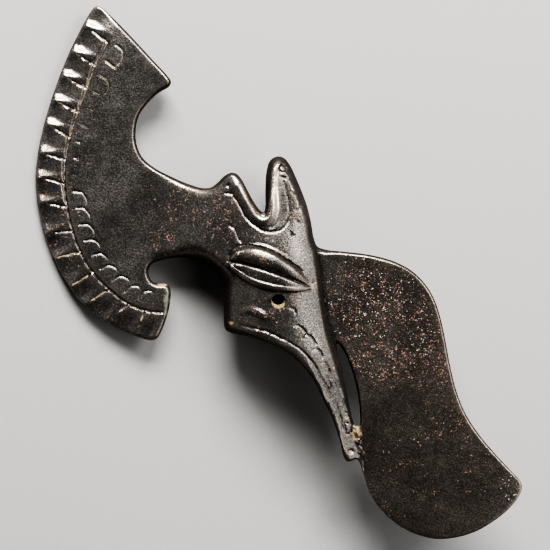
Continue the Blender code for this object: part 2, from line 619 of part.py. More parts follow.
def socket_cutter():
    """The haft's bore: an oval cone, flat at its blind top."""
    cutter = bmesh.new()
    rings = []
    for y, half_width, half_depth in (SOCKET_FOOT, SOCKET_TOP):
        ring = bmesh.ops.create_circle(cutter, segments=SOCKET_SIDES, radius=1.0)["verts"]
        bmesh.ops.scale(cutter, vec=(half_width * MM, half_depth * MM, 1.0), verts=ring)
        bmesh.ops.rotate(cutter, matrix=Matrix.Rotation(math.radians(90.0), 3, "X"), verts=ring)
        bmesh.ops.translate(cutter, vec=(0.0, y * MM, 0.0), verts=ring)
        rings.append(ring)
    bmesh.ops.bridge_loops(cutter, edges=cutter.edges[:])
    for ring in rings:
        bmesh.ops.contextual_create(cutter, geom=ring)
    bmesh.ops.recalc_face_normals(cutter, faces=cutter.faces)
    return add_object("socket_cutter", cutter)


def peg_cutter():
    """The peg hole, straight through both walls."""
    cutter = bmesh.new()
    bmesh.ops.create_cone(
        cutter, cap_ends=True, segments=PEG_HOLE_SIDES,
        radius1=PEG_HOLE_RADIUS * MM, radius2=PEG_HOLE_RADIUS * MM, depth=40.0 * MM,
    )
    return add_object("peg_cutter", cutter)


def cut(obj, cutter):
    """Take the cutter's shape out of the object."""
    cutter.parent = obj
    cutter.hide_render = True
    cutter.display_type = "WIRE"
    boolean = obj.modifiers.new(cutter.name, "BOOLEAN")
    boolean.operation = "DIFFERENCE"
    boolean.solver = "EXACT"
    boolean.object = cutter


def lay_down(obj):
    """Turn the object as it lies at rest, and stand its box on the floor around the origin."""
    turn = Euler((REST_TURN[0], REST_TURN[1], 0.0)).to_matrix()
    corners = np.array([turn @ vert.co for vert in obj.data.vertices])
    low, high = corners.min(axis=0), corners.max(axis=0)
    obj.rotation_euler = turn.to_euler()
    obj.location = (-(low[0] + high[0]) / 2.0, -(low[1] + high[1]) / 2.0, -low[2])


clear_scene()
axe_head = add_object("axe_head", cast_body())
axe_head.data.materials.append(bronze_material())
axe_head.data.shade_smooth()
axe_head.data.set_sharp_from_angle(angle=math.radians(40.0))
for tool in (socket_cutter(), peg_cutter()):
    cut(axe_head, tool)
lay_down(axe_head)
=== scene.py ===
import math

import bmesh
import bpy
import numpy as np
from mathutils import Euler, Matrix, Vector, noise
from mathutils.geometry import delaunay_2d_cdt
from mathutils.kdtree import KDTree


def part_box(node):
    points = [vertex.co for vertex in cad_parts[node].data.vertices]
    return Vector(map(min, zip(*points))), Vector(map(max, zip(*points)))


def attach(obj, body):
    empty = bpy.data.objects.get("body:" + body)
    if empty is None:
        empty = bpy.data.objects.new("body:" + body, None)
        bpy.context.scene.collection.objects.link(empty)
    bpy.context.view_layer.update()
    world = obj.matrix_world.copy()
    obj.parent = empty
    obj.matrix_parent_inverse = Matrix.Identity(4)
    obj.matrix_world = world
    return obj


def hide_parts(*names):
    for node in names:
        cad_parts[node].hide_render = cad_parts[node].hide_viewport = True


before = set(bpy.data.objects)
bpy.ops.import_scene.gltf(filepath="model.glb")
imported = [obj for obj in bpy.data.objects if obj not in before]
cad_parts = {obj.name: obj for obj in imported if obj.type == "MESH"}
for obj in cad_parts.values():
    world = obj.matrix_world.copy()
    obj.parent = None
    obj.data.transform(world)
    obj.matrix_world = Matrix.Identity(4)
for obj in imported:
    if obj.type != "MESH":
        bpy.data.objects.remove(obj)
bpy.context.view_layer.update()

# --- Outline of the casting ---
# The axe head is one bronze casting, alike on both faces. Its outline is drawn in the plane where the
# two halves of the mould met: x towards the blade, y up the haft, in millimetres from the peg hole.
# Its stretches run on clockwise, each into the next.
MM = 0.001
CREST_TOP = ((-50.4, 82.5), (-49, 81.7), (-43.3, 76.2), (-35.4, 67.7), (-30.9, 62.8))
UPPER_BAY = (
    (-30.1, 61.5), (-30.5, 60.2), (-34, 58), (-37, 55), (-39.1, 51.8), (-40, 47.9), (-39.7, 43.7),
    (-38.1, 40.2), (-34.9, 37.4), (-30.4, 35), (-25.3, 32.8), (-21.1, 31.6), (-18.9, 31.8), (-17.1, 33.1),
    (-15, 35.1), (-13.2, 35.9), (-11.6, 35.5), (-10.1, 33.7), (-8.5, 30.7), (-6.6, 27.3), (-5, 25.2),
)
UPPER_JAW = (
    (-4.1, 24.7), (-3.7, 26.2), (-3.7, 31.6), (-3.4, 36.1), (-2.4, 39.3), (-0.4, 40.5), (1.5, 40.1),
    (3.2, 38.1), (4.9, 34.6), (6.6, 30.5), (8, 26.6), (9.1, 22.1), (9.9, 17.6), (10.9, 15.3),
)
BLADE_BACK = (
    (13.2, 14.4), (18.6, 13.8), (25.1, 13), (31.8, 11.3), (37.1, 8.6), (41, 4.8), (43.5, 0.7), (45.2, -4.2),
    (46.6, -10.4), (48, -17.9), (49.8, -25.2), (52.5, -31.8), (56.4, -37.7), (61.5, -43.7), (66.2, -48.7),
)
CUTTING_EDGE = (
    (67.7, -50.4), (68.2, -52.1), (67.3, -54.7), (64.3, -58.4), (60.3, -61.6), (55.3, -64.5), (49.7, -66.2),
    (44.1, -66.6), (38.2, -65.2), (32.9, -62.3), (28.4, -58.1), (25.3, -53.2), (23.6, -47.9),
)
BEAK = (
    (22.7, -45.2), (21.9, -44.2), (20.5, -44.7), (19.2, -44.9), (18.3, -43.6), (17.1, -38.9), (15, -32.8),
    (12.3, -27.2), (9.1, -21.5), (5.4, -17.3), (1.5, -14.5), (-3.5, -12.1), (-8.5, -10.2),
)
HEAD_BACK = (
    (-13.4, -8.8), (-14.7, -8.1), (-15.2, -6.6), (-15.3, 0.3), (-15.5, 3.4), (-16.4, 6.3), (-18.3, 9),
    (-21.1, 10.9), (-24.8, 12), (-29, 12.1), (-33.2, 11.3), (-35.4, 10.4), (-36.4, 8.9), (-36.2, 6.9),
    (-35.2, 5.4), (-33.5, 4.8), (-31.8, 4.8),
)
CREST_END = ((-30.7, 4.2), (-30.2, 2.7), (-30.4, -0.8), (-31.4, -4.8), (-32.8, -8.4))
CREST_EDGE = (
    (-34, -10.4), (-35.6, -11), (-39.3, -10.1), (-44.4, -8), (-50, -4.8), (-55, -0.7), (-59.2, 4.9),
    (-62.9, 11.8), (-65.8, 19.6), (-67.5, 27.4), (-68, 34.7), (-67.3, 41.7), (-65.5, 50.1), (-62.7, 59.1),
    (-59.2, 68.2), (-55.7, 75.5), (-52.6, 81), (-51.5, 82.3),
)
SLIT = (
    (16.4, -11.7), (16.6, -14.6), (17.5, -17.9), (18.7, -23), (19.6, -28.3), (20.7, -33), (21.4, -34.7),
    (22.3, -35.1), (22.8, -34.2), (22.8, -31.1), (22.2, -26), (20.9, -20.6), (19.1, -15.7), (17.4, -12.7),
    (16.4, -11.7),
)
OUTLINE_STEP, SLIT_STEP = 0.6, 0.5


def smooth_curve(points, samples=12, closed=False):
    """Points of a centripetal Catmull-Rom curve through the given points, as an array."""
    knots = np.array(points, dtype=float)
    before = knots[-2] if closed else 2 * knots[0] - knots[1]
    after = knots[1] if closed else 2 * knots[-1] - knots[-2]
    knots = np.vstack([before, knots, after])
    t = np.linspace(0, 1, samples, endpoint=False)[:, None]
    pieces = []
    for a, b, c, d in zip(knots, knots[1:], knots[2:], knots[3:]):
        gap_ab, gap_bc, gap_cd = (math.sqrt(np.linalg.norm(q - p)) for p, q in ((a, b), (b, c), (c, d)))
        leave = ((c - b) / gap_bc - (c - a) / (gap_ab + gap_bc) + (b - a) / gap_ab) * gap_bc
        arrive = ((d - c) / gap_cd - (d - b) / (gap_bc + gap_cd) + (c - b) / gap_bc) * gap_bc
        cubic = 2 * b - 2 * c + leave + arrive
        square = 3 * c - 3 * b - 2 * leave - arrive
        pieces.append(((cubic * t + square) * t + leave) * t + b)
    return np.vstack(pieces + [knots[-2:-1]])


def lengths_along(curve):
    """How far along a curve each of its points lies."""
    return np.concatenate([[0], np.cumsum(np.linalg.norm(np.diff(curve, axis=0), axis=1))])


def even_curve(curve, step):
    """The curve's points, set about a step apart along it."""
    along = lengths_along(curve)
    places = np.linspace(0, along[-1], max(2, round(along[-1] / step) + 1))
    return np.column_stack([np.interp(places, along, curve[:, k]) for k in (0, 1)])


def nearest_on(points, curve):
    """For each point: distance to the curve, side of it, and length along it to the nearest place."""
    starts, runs, before = curve[:-1], np.diff(curve, axis=0), lengths_along(curve)
    lengths = np.linalg.norm(runs, axis=1)
    distance, side, along = (np.empty(len(points)) for _ in range(3))
    for first in range(0, len(points), 2000):
        block = slice(first, first + 2000)
        away_x = points[block, 0, None] - starts[None, :, 0]
        away_y = points[block, 1, None] - starts[None, :, 1]
        t = (away_x * runs[:, 0] + away_y * runs[:, 1]) / np.maximum(lengths, 1e-9) ** 2
        t = np.clip(t, 0, 1)
        gaps = np.hypot(away_x - t * runs[:, 0], away_y - t * runs[:, 1])
        best = gaps.argmin(axis=1)
        rows = np.arange(len(best))
        distance[block] = gaps[rows, best]
        side[block] = runs[best, 0] * away_y[rows, best] - runs[best, 1] * away_x[rows, best]
        along[block] = before[best] + t[rows, best] * lengths[best]
    return distance, np.sign(side), along


def inside(points, loop):
    """Which points lie inside a closed loop."""
    x0, y0 = loop[:-1].T
    x1, y1 = loop[1:].T
    rise = np.where(y1 == y0, 1e-12, y1 - y0)
    found = []
    for first in range(0, len(points), 4000):
        x, y = points[first:first + 4000, :1], points[first:first + 4000, 1:]
        crossed = ((y0 > y) != (y1 > y)) & (x < x0 + (y - y0) * (x1 - x0) / rise)
        found.append(crossed.sum(axis=1) % 2 == 1)
    return np.concatenate(found)


def unit(runs):
    """Directions brought to a length of one."""
    return runs / np.linalg.norm(runs, axis=1)[:, None]


def left_of(runs):
    """Directions turned a quarter to the left."""
    return np.column_stack([-runs[:, 1], runs[:, 0]])


knots = (
    CREST_TOP + UPPER_BAY + UPPER_JAW + BLADE_BACK + CUTTING_EDGE + BEAK + HEAD_BACK + CREST_END + CREST_EDGE
)
outline = even_curve(smooth_curve(knots + knots[:1], closed=True), OUTLINE_STEP)
slit = even_curve(smooth_curve(SLIT, closed=True), SLIT_STEP)
crest_edge = smooth_curve(CREST_EDGE + CREST_TOP[:1], 6)
cutting_edge = smooth_curve(CUTTING_EDGE + BEAK[:1], 6)

# --- Crest ---
# A crescent plate, cast thin and dressed cold: scooped flutes between chased lines along its convex
# edge, a chased groove inside them, and a row of arched scales inside that, worn away in its middle.
CREST_PLATE = (1.05, 0.6, 5, 0.014)
GROOVE_LINE = (
    (-46.7, 74), (-48.8, 69.8), (-51.1, 65.8), (-53.5, 59.4), (-55.9, 52.9), (-58.1, 45.7), (-59.4, 39.6),
    (-59.7, 32.9), (-59, 26.5), (-57.5, 19.8), (-55.4, 13.9), (-51.9, 8), (-47.5, 3.4), (-41.9, -0.8),
    (-37.3, -2.6), (-31.9, -3.4),
)
# Each line between two flutes: where it leaves the groove, its slant in degrees and its length.
FLUTE_LINES = (
    (2, 9.9, 7.3), (9.3, 5, 6.8), (16.2, 7.4, 7), (23.1, 5.9, 7.1), (30.6, 14.8, 7.1), (36.9, 7.1, 7.5),
    (43.6, 15.6, 8), (50.1, 18, 7.2), (56.9, 8.1, 8.1), (63.2, 9.9, 7.2), (70, 5, 7.4), (76.4, 14.2, 7),
    (83.4, 20.8, 3.8), (88.4, 9.4, 3.5),
)
# The flutes' reach out from the groove, their start beside it, and the end ones' reach past the lines.
FLUTE_REACH, FLUTE_START, END_FLUTES = 11, 1.2, (7.3, 5.4)
FLUTE_DEPTH, FLUTE_FACET, FLUTE_RIDGE = 1.12, 0.3, 0.36
# Where the trough lies across a flute, at the edge and how much further at the groove, and its walls.
FLUTE_TROUGH, UPPER_WALL, LOWER_WALL = (0.56, 0.3), 0.8, 0.6
# The share of the depth at the groove, and where the depth starts to grow and is full.
FLUTE_SLOPE = (0.08, 0.2, 0.85)
# How many flutes are unworn, and how much each of the others is worn more than the last.
FLUTE_WEAR = (5, 0.035)
# The curved feet of the upper flutes: shares of the way to the next line, and how far out.
CURVED_FEET = 7
FLUTE_FOOT = ((-0.16, -1.5), (-0.02, -1.15), (0.12, -0.9), (0.4, -0.75), (0.75, -0.6), (1, -0.15))
SCALE_FIRST, SCALE_PITCH = 1.6, 4.93
SCALE_ARCH = ((0, 2.1), (0.05, 3.6), (0.16, 4.7), (0.6, 5.6), (1, 5.1))
SCALE_TOP = ((0, 1.9), (0.06, 4.3))
SCALE_DEPTHS = (1, 0.9, 0.45, 0.5, 0.25, 0.5, 0.55, 0.6, 0.4, 1, 0.9, 1, 1, 1, 0.9, 0.9, 0.9, 0.8, 0.6)
SCALE_WHOLE = (0, 2, 9, 10, 11, 12, 13, 14, 15, 16, 17)
CROSS_STROKE = ((6.6, 7), (1.5, 5.7))

strokes = []
beads = []


def ease(value, low, high):
    """0 below low, 1 above high and a smooth S between."""
    t = np.clip((value - low) / (high - low), 0, 1)
    return t * t * (3 - 2 * t)


def beside(points, curve, reach):
    """The points within reach of a curve: which they are, their distance, side and length along it."""
    near = ((points > curve.min(axis=0) - reach) & (points < curve.max(axis=0) + reach)).all(axis=1)
    which = np.flatnonzero(near)
    distance, side, along = nearest_on(points[which], curve)
    close = distance < reach
    return which[close], distance[close], side[close], along[close]


def chase_along(curve, width, depth, fade_in=1, fade_out=1):
    """A line chased into both faces with a pointed tool."""
    strokes.append((even_curve(curve, 0.4), width / 2, depth, fade_in, fade_out))


def chase(knots, *how):
    """A line chased along a curve through some points."""
    chase_along(smooth_curve(knots), *how)


def raise_bead(knots, width, height, fade):
    """A soft rib left standing on both faces."""
    beads.append((smooth_curve(knots), width / 2, height, fade))


def chased_depth(points):
    """How deep the chased lines are at each point."""
    depth = np.zeros(len(points))
    for curve, half_width, deepest, fade_in, fade_out in strokes:
        which, distance, _, along = beside(points, curve, half_width)
        length = lengths_along(curve)[-1]
        fade = ease(along, -0.2, fade_in) * ease(length - along, -0.2, fade_out)
        hand = 0.86 + 0.14 * np.sin(along * 2.1 + curve[0, 0])
        cut = deepest * fade * hand * (1 - distance / half_width)
        depth[which] = np.maximum(depth[which], cut)
    return depth


def bead_height(points):
    """How high the ribs stand at each point."""
    height = np.zeros(len(points))
    for curve, half_width, highest, fade in beads:
        which, distance, _, along = beside(points, curve, half_width)
        length = lengths_along(curve)[-1]
        ends = ease(np.minimum(along, length - along), -0.5, fade)
        height[which] += highest * ends * 0.5 * (1 + np.cos(math.pi * distance / half_width))
    return height


def place_on(curve, places, reach):
    """Points on a curve at lengths along it, and the unit direction in which it runs through each."""
    along = lengths_along(curve)
    back, here, ahead = (
        np.column_stack([np.interp(places + shift, along, curve[:, axis]) for axis in (0, 1)])
        for shift in (-reach, 0, reach)
    )
    return here, unit(ahead - back)


def beside_groove(places, reaches):
    """Points at lengths along the groove and distances in from it, or out where they are negative."""
    here, run = place_on(groove, np.array(places), 0.5)
    return here + left_of(run) * np.array(reaches)[:, None]


def flute_fall(points):
    """How deep the flutes are scooped at each point."""
    which, inner, side, _ = beside(points, groove, FLUTE_REACH)
    which, inner = which[side < 0], inner[side < 0]
    outer = nearest_on(points[which], crest_edge)[0]
    out = inner / (inner + outer + 1e-9)
    x, y = points[which].T
    past = np.array([(y - at[1]) * aim[0] - (x - at[0]) * aim[1] for at, aim in zip(ray_starts, ray_aims)])
    past = np.vstack([past[0] + END_FLUTES[0], past, past[-1] - END_FLUTES[1]])
    least, grows, full = FLUTE_SLOPE
    fall = np.zeros(len(which))
    for k, (upper, lower) in enumerate(zip(past, past[1:])):
        share = upper / np.maximum(upper - lower, 1e-9)
        ridge = 1 - FLUTE_RIDGE * (1 - out)
        up_to = np.clip(share / ridge, 0, 1)
        trough = FLUTE_TROUGH[0] + FLUTE_TROUGH[1] * (1 - out)
        rise = np.clip((up_to - trough) / (1 - trough), 0, 1)
        scoop = np.sin(0.5 * math.pi * np.minimum(up_to / trough, 1)) ** UPPER_WALL
        scoop = scoop - (1 + LOWER_WALL) * rise ** 2 / (rise + LOWER_WALL)
        scoop = scoop * (least + (1 - least) * ease(out, grows, full))
        facet = FLUTE_FACET * (1 - out) * np.clip((share - ridge) / (1 - ridge + 1e-6), 0, 1)
        worn = 1 - FLUTE_WEAR[1] * max(k + 1 - FLUTE_WEAR[0], 0)
        cell = FLUTE_DEPTH * worn * scoop + facet
        fall = np.where((upper > 0) & (lower <= 0), cell, fall)
    depth = np.zeros(len(points))
    depth[which] = fall * ease(inner, 0, FLUTE_START)
    return depth


def plate_height(points, edge, plate):
    """Half thickness of a plate that thickens away from its thin edge."""
    thin, gain, run, taper = plate
    distance = nearest_on(points, edge)[0]
    return thin + gain * (1 - np.exp(-distance / run)) + taper * distance


groove = even_curve(smooth_curve(GROOVE_LINE), 0.4)
ray_places, ray_slants, ray_lengths = np.array(FLUTE_LINES).T
ray_starts, ray_runs = place_on(groove, ray_places, 1.5)
cos, sin = np.cos(np.radians(ray_slants))[:, None], np.sin(np.radians(ray_slants))[:, None]
ray_aims = -left_of(ray_runs) * cos - ray_runs * sin
chase_along(groove, 0.8, 0.42)
chase_along(groove[100:], 0.9, 0.5, 6)
for start, aim, length in zip(ray_starts, ray_aims, ray_lengths):
    chase_along(np.array([start, start + aim * length]), 0.9, 0.45, 0.1, 0.45 * length)
shares, reaches = np.array(FLUTE_FOOT).T
for first, last in zip(ray_places[:CURVED_FEET], ray_places[1:]):
    chase(beside_groove(first + (last - first) * shares, reaches), 0.7, 0.28)
for k, depth in enumerate(SCALE_DEPTHS):
    shares, reaches = np.array(SCALE_ARCH if k in SCALE_WHOLE else SCALE_TOP).T
    arch = beside_groove(SCALE_FIRST + (k + shares) * SCALE_PITCH, reaches)
    chase(arch, 0.7, 0.36 * depth, 0.15, 1.8)
chase(beside_groove(*CROSS_STROKE), 0.8, 0.36)

# --- Neck and socket tube ---
# A short bar joins the crest to the socket, which was cast round a clay core for an oval haft. The
# tube narrows into a tapering beak below, and its half thickness is read from stations down the haft.
# Each station: its place up the haft, then the tube's middle, half width and half thickness there.
TUBE_STATIONS = (
    (46, -3.2, 11.6, 5.6), (39.5, -2.8, 12.4, 6.4), (34, -2.5, 12.8, 7.2), (28.3, -2.4, 12.9, 8.1),
    (22, -2.4, 12.9, 9.1), (16, -1.9, 13.4, 10.1), (9, -1.3, 14, 10.8), (0, -0.8, 14.7, 11),
    (-8, 0.2, 15.2, 10.9), (-14.6, 3.6, 13.4, 10.3), (-21, 7.2, 11.4, 8.9), (-28, 11.2, 8.8, 7),
    (-34, 14.5, 6.6, 5.4), (-40, 17.2, 5.1, 4.3), (-43.5, 19.4, 3.8, 3.6), (-46.5, 20.4, 3.6, 2.2),
    (-50, 21.5, 3.4, 0.3), (-60, 24, 3, 0.2),
)
# The crown left and right of its middle: where the steep flank starts, its fall to there, its fullness.
TUBE_CROWN = ((0.93, 0.632, 2.5), (0.84, 0.38, 2.2))
# The right flank is more level up the jaw and steeper down the beak: how much, and between where.
JAW_LEVEL, JAW_RANGE = 0.45, (13, 27)
BEAK_SPREAD, BEAK_RANGE = 1, (15, 27)
NECK_STATIONS = (
    (-70, -9), (-50, -4), (-44, -1), (-38, 1.2), (-32, 3), (-26, 4.9), (-20, 6.7), (-14, 7.9), (-6, 8.3),
    (4, 7), (8, 5),
)
NECK_UNDERSIDE = (-2, 10, 12)
NECK_BEHIND_MOUTH = ((-7, 0), (19, 25))
NECK_SHOULDER = ((-22.5, 32, 7.5, 5, 0.95),)
SHOULDER_REACH = 3


def blend_up(a, b, softness):
    """The larger of two heights, with a fillet where they cross."""
    return 0.5 * (a + b + np.sqrt((a - b) ** 2 + softness ** 2))


def profile(place, stations, column=1):
    """A measure at each place, read from a smooth curve through its stations."""
    curve = smooth_curve(sorted((row[0], row[column]) for row in stations), samples=8)
    return np.interp(place, curve[:, 0], curve[:, 1])


def tube_height(x, y):
    """Half thickness of the oval tube and beak, falling below zero outside them."""
    middle, half_width, crown_height = (profile(y, TUBE_STATIONS, column) for column in (1, 2, 3))
    across = np.abs((x - middle) / half_width)
    flank, fall, fullness = np.array(TUBE_CROWN)[(x > middle).astype(int)].T
    fall = fall * (1 - JAW_LEVEL * (x > middle) * ease(y, *JAW_RANGE))
    fullness = fullness - BEAK_SPREAD * (x > middle) * ease(-y, *BEAK_RANGE)
    crown = 1 - fall * (np.minimum(across, flank) / flank) ** fullness
    return crown_height * (crown - (1 - fall) / (1 - flank) * np.maximum(across - flank, 0))


def patchiness(points, patches):
    """How strongly something shows at each point, from its patches: middle, reach across and up, most."""
    strength = np.zeros(len(points))
    for x, y, reach_x, reach_y, most in patches:
        away = ((points[:, 0] - x) / reach_x) ** 2 + ((points[:, 1] - y) / reach_y) ** 2
        strength = np.maximum(strength, most * np.exp(-0.5 * away ** 2))
    return strength


def neck_height(x, y):
    """Half thickness of the bar between crest and head, dropping away below it and behind the mouth."""
    low, high, drop = NECK_UNDERSIDE
    across, up = NECK_BEHIND_MOUTH
    behind = ease(x, *across) * ease(y, *up)
    return profile(x, NECK_STATIONS) - drop * (1 - ease(y, low, high)) - drop * behind


# --- Upper mouth ---
# A notch in the top of the head, with a rolled lip round it. Chased round it are a lip line, a ringed
# nostril, a drilled pit and a few worn scale marks.
LIP_ROLL = (
    (-13.6, 33.4), (-12, 32.3), (-10.5, 29.6), (-8.5, 26.2), (-6.7, 23.7), (-4.6, 22.4), (-2.8, 22.9),
    (-1.9, 25.2), (-1.9, 28), (-2.2, 31), (-2.1, 34.3), (-1.5, 37.2), (-0.5, 38.6),
)
UPPER_LIP_LINE = (
    (-12.7, 29.5), (-10.8, 26.7), (-9.4, 23.9), (-7.6, 21.9), (-5.7, 20.5), (-3.9, 19.5), (-2, 19.4),
    (-0.4, 19.6), (1.2, 20.5), (2.4, 22.3), (3, 24.1),
)
WORN_LIP_LINE = ((2.9, 23.4), (3, 25.6), (2.6, 28.4), (2, 31), (1.5, 32.8), (0.9, 34.3))
JAW_MARKS = (
    ((0.7, 34.4), (3.4, 34.2)),
    ((3.4, 34.2), (4.5, 32.8), (5.1, 30.8), (4.5, 30.1), (3.4, 30.3)),
    ((5.1, 30.8), (6, 29.1), (6.2, 26.8), (5.7, 25.4), (4.5, 25.3)),
    ((4.9, 22.3), (5.9, 21.6)),
    ((2.9, 19.3), (4.3, 17.9)),
    ((-15.2, 29.9), (-12.2, 29.7)),
    ((-13.9, 21.4), (-13.1, 20.6), (-12, 20.2)),
    ((-12, 20.2), (-11.7, 18.7), (-11.2, 17.4), (-10.1, 16.3)),
)
JAW_DEPTHS = (0.4, 0.3, 0.3, 0.38, 0.42, 0.34, 0.38, 0.42)
NOSTRIL = (1.1, 37, 0.95)
JAW_PIT = (-13.9, 32.1, 0.75)

pits = []


def circle(x, y, radius):
    """A closed ring of points."""
    turn = np.linspace(0, 2 * math.pi, 25)
    return np.column_stack([x + radius * np.cos(turn), y + radius * np.sin(turn)])


def pit_depth(points):
    """How deep the drilled pits are at each point."""
    depth = np.zeros(len(points))
    for x, y, radius, deepest in pits:
        away = np.hypot(points[:, 0] - x, points[:, 1] - y) / radius
        depth = np.maximum(depth, deepest * (1 - ease(away, 0.25, 1)))
    return depth


raise_bead(LIP_ROLL, 4.4, 1, 2.5)
chase(UPPER_LIP_LINE, 1, 0.55, 1, 2)
chase(WORN_LIP_LINE, 0.8, 0.21, 0.5, 0.5)
for mark, depth in zip(JAW_MARKS, JAW_DEPTHS):
    chase(mark, 1, depth, 0.3, 0.6)
strokes.append((circle(*NOSTRIL), 0.32, 0.55, 0, 0))
pits.append((*JAW_PIT, 0.7))

# --- Eye ---
# A coffee-bean eye standing proud of each face: a thin rim over a big upper lobe, a sunk slit, a thin
# lower lobe and a heavy lid under it. It is set on a slant, and its lines run out in a corner.
EYE_CORNER = (-13.9, 11.2)
EYE_TILT = math.radians(-15)
EYE_LENGTH = 24.2
# The arcs of the top, the slit, the lower line and the lid: the rise, lean and fullness of each.
EYE_ARCS = ((7.15, 0.68, 0.5), (0.55, 0.72, 1), (-2.85, 0.8, 0.85), (-4.8, 0.82, 0.62))
EYE_DROOP = -1.2
# How far the blunt end is rounded, and the power and fullness of the tapered end.
EYE_ENDS = (0.09, 2.4, 0.75)
# The upper lobe's height, slope and bulge, the bulge's form, and the lower one's height, bevel and fall.
UPPER_LOBE, BULGE_FORM, LOWER_LOBE = (-0.35, 0.35, 2), (0.7, 0.75), (1.05, 0.28, 0.5)
LID_RIDGE, LID_BEVEL = 1.5, 0.28
EYE_RIM, RIM_FOOT = (0.22, 0.42), (1, 1.9)
EYE_WALL, EYE_BEVEL = 0.45, 0.5
EYE_LIFT = (2.8, 0.42)
EYE_STEPS = 48
CORNER_MARK = ((8.3, 4), (10.6, 5.6))


def eye_frame(points):
    """The points in the eye's own frame: the share of its length, and how far above its long axis."""
    away = points - np.array(EYE_CORNER)
    along = (away[:, 0] * math.cos(EYE_TILT) + away[:, 1] * math.sin(EYE_TILT)) / EYE_LENGTH
    above = away[:, 1] * math.cos(EYE_TILT) - away[:, 0] * math.sin(EYE_TILT)
    return along, above


def eye_arcs(along):
    """Heights above the eye's long axis of its four arcs, which join its two corners."""
    share = np.clip(along, 0, 1)
    return [
        rise * np.sin(math.pi * share ** lean) ** fullness + EYE_DROOP * share ** 2
        for rise, lean, fullness in EYE_ARCS
    ]


def on_eye(along, above):
    """Points given in the eye's frame, in the casting's plane."""
    out, cos_tilt, sin_tilt = along * EYE_LENGTH, math.cos(EYE_TILT), math.sin(EYE_TILT)
    turned = np.column_stack([out * cos_tilt - above * sin_tilt, out * sin_tilt + above * cos_tilt])
    return turned + EYE_CORNER


def share_between(value, low, high):
    """How far a value has come from low to high, from 0 to 1."""
    return np.clip((value - low) / np.where(np.abs(high - low) < 0.05, 0.05, high - low), 0, 1)


def eye_rise(points):
    """How far the eye stands above the head: two lobes like a bean's, and a lid below them."""
    along, above = eye_frame(points)
    top, slit_line, lower_line, lid = eye_arcs(along)
    upper = share_between(above, slit_line, top)
    lower = share_between(slit_line - above, 0, slit_line - lower_line)
    below = share_between(lower_line - above, 0, lower_line - lid)
    share = np.clip(along, 0, 1)
    blunt, power, fullness = EYE_ENDS
    ends = np.sqrt(1 - (1 - np.minimum(share / blunt, 1)) ** 2) * (1 - share ** power) ** fullness
    base, gain, bulge = UPPER_LOBE
    lean, fullness = BULGE_FORM
    upper_lobe = base + gain * upper + bulge * np.sin(math.pi * upper ** lean) ** fullness
    rim_height, rim_width = EYE_RIM
    rim = rim_height * np.clip((top - above) / rim_width, 0, 1)
    upper_lobe = np.maximum(upper_lobe * ease(top - above, *RIM_FOOT), rim)
    base, bevel, fall = LOWER_LOBE
    bevelled = np.clip((slit_line - above - EYE_WALL) / EYE_BEVEL, 0, 1)
    lower_lobe = base + bevel * bevelled - fall * lower ** 2
    lower_lobe = (lower_lobe - UPPER_LOBE[0]) * ease(slit_line - above, 0, EYE_WALL) + UPPER_LOBE[0]
    lid_edge = LID_RIDGE - LID_BEVEL
    lower_lobe = np.maximum(lower_lobe, lid_edge * (1 - ease(above - lower_line, 0, EYE_WALL)))
    lid_bevel = LID_BEVEL * (1 - np.clip((lower_line - above) / EYE_BEVEL, 0, 1))
    lid_slope = LID_RIDGE * np.sqrt(1 - below ** 2) - lid_bevel
    rise = np.where(above > slit_line, upper_lobe, np.where(above > lower_line, lower_lobe, lid_slope))
    rise = ends * (rise + EYE_LIFT[0] * np.maximum(EYE_LIFT[1] - share, 0) ** 1.5)
    in_eye = (along > 0) & (along < 1) & (above < top) & (above > lid)
    return np.where(in_eye, rise, 0)


shares = 0.5 - 0.5 * np.cos(np.linspace(0, 1, EYE_STEPS) * math.pi)
eye_top, eye_slit, eye_lower, eye_lid = eye_arcs(shares)
belly = np.sin(shares * math.pi)
eye_lines = [
    on_eye(shares, arc + offset * belly)
    for arc, offsets in (
        (eye_top, (0.28, 0.06, -0.22, -0.46)), (eye_slit, (0.12, -0.05, -0.25, -0.47, -0.95)),
        (eye_lower, (0.45, 0.2, 0, -0.25, -0.5)), (eye_lid, (0.1, -0.1)),
    )
    for offset in offsets
]
chase_along(on_eye(shares, eye_top - 1.25 * belly)[4:40], 0.75, 0.42, 2, 4)
chase_along(np.array(CORNER_MARK), 0.7, 0.3)

# --- Lower mouth and beak ---
# The way in for the haft is the second mouth, with a lip line and a fold of its chin. Its long beak
# runs down beside the blade, with a line of scales, thin streaks and grooves, punch marks and a pit.
LOWER_LIP_LINE = ((-10.6, -6.6), (-8.3, -7.2), (-5.7, -7.8), (-3, -8.5), (-0.3, -9.7), (2.4, -11.1))
LOWER_LIP_END = ((1.5, -10.6), (4.4, -12.2), (6.4, -13.6), (9.4, -16.8), (12, -21.4))
CHIN_FOLD = ((-10.4, -2.6), (-8, -2.4), (-5.4, -3.2), (-2.9, -4.9))
BEAK_STREAKS = (
    ((6.7, -15.4), (9.1, -18.9), (11.9, -24.5), (14.6, -29.1), (16.8, -35.1), (18, -39.6)),
    ((10.9, -18.8), (13.5, -22.5), (15.8, -26.7), (17.2, -30.9)),
    ((13.9, -16.9), (16.3, -21.1), (18.2, -25.8), (19.3, -30.9)),
)
BEAK_GROOVES = (
    ((13.2, -20.4), (14.5, -23.2), (15.6, -26.2), (16.7, -30), (17.6, -34), (18.3, -37.4)),
    ((12.9, -17.2), (14.4, -19.4)),
)
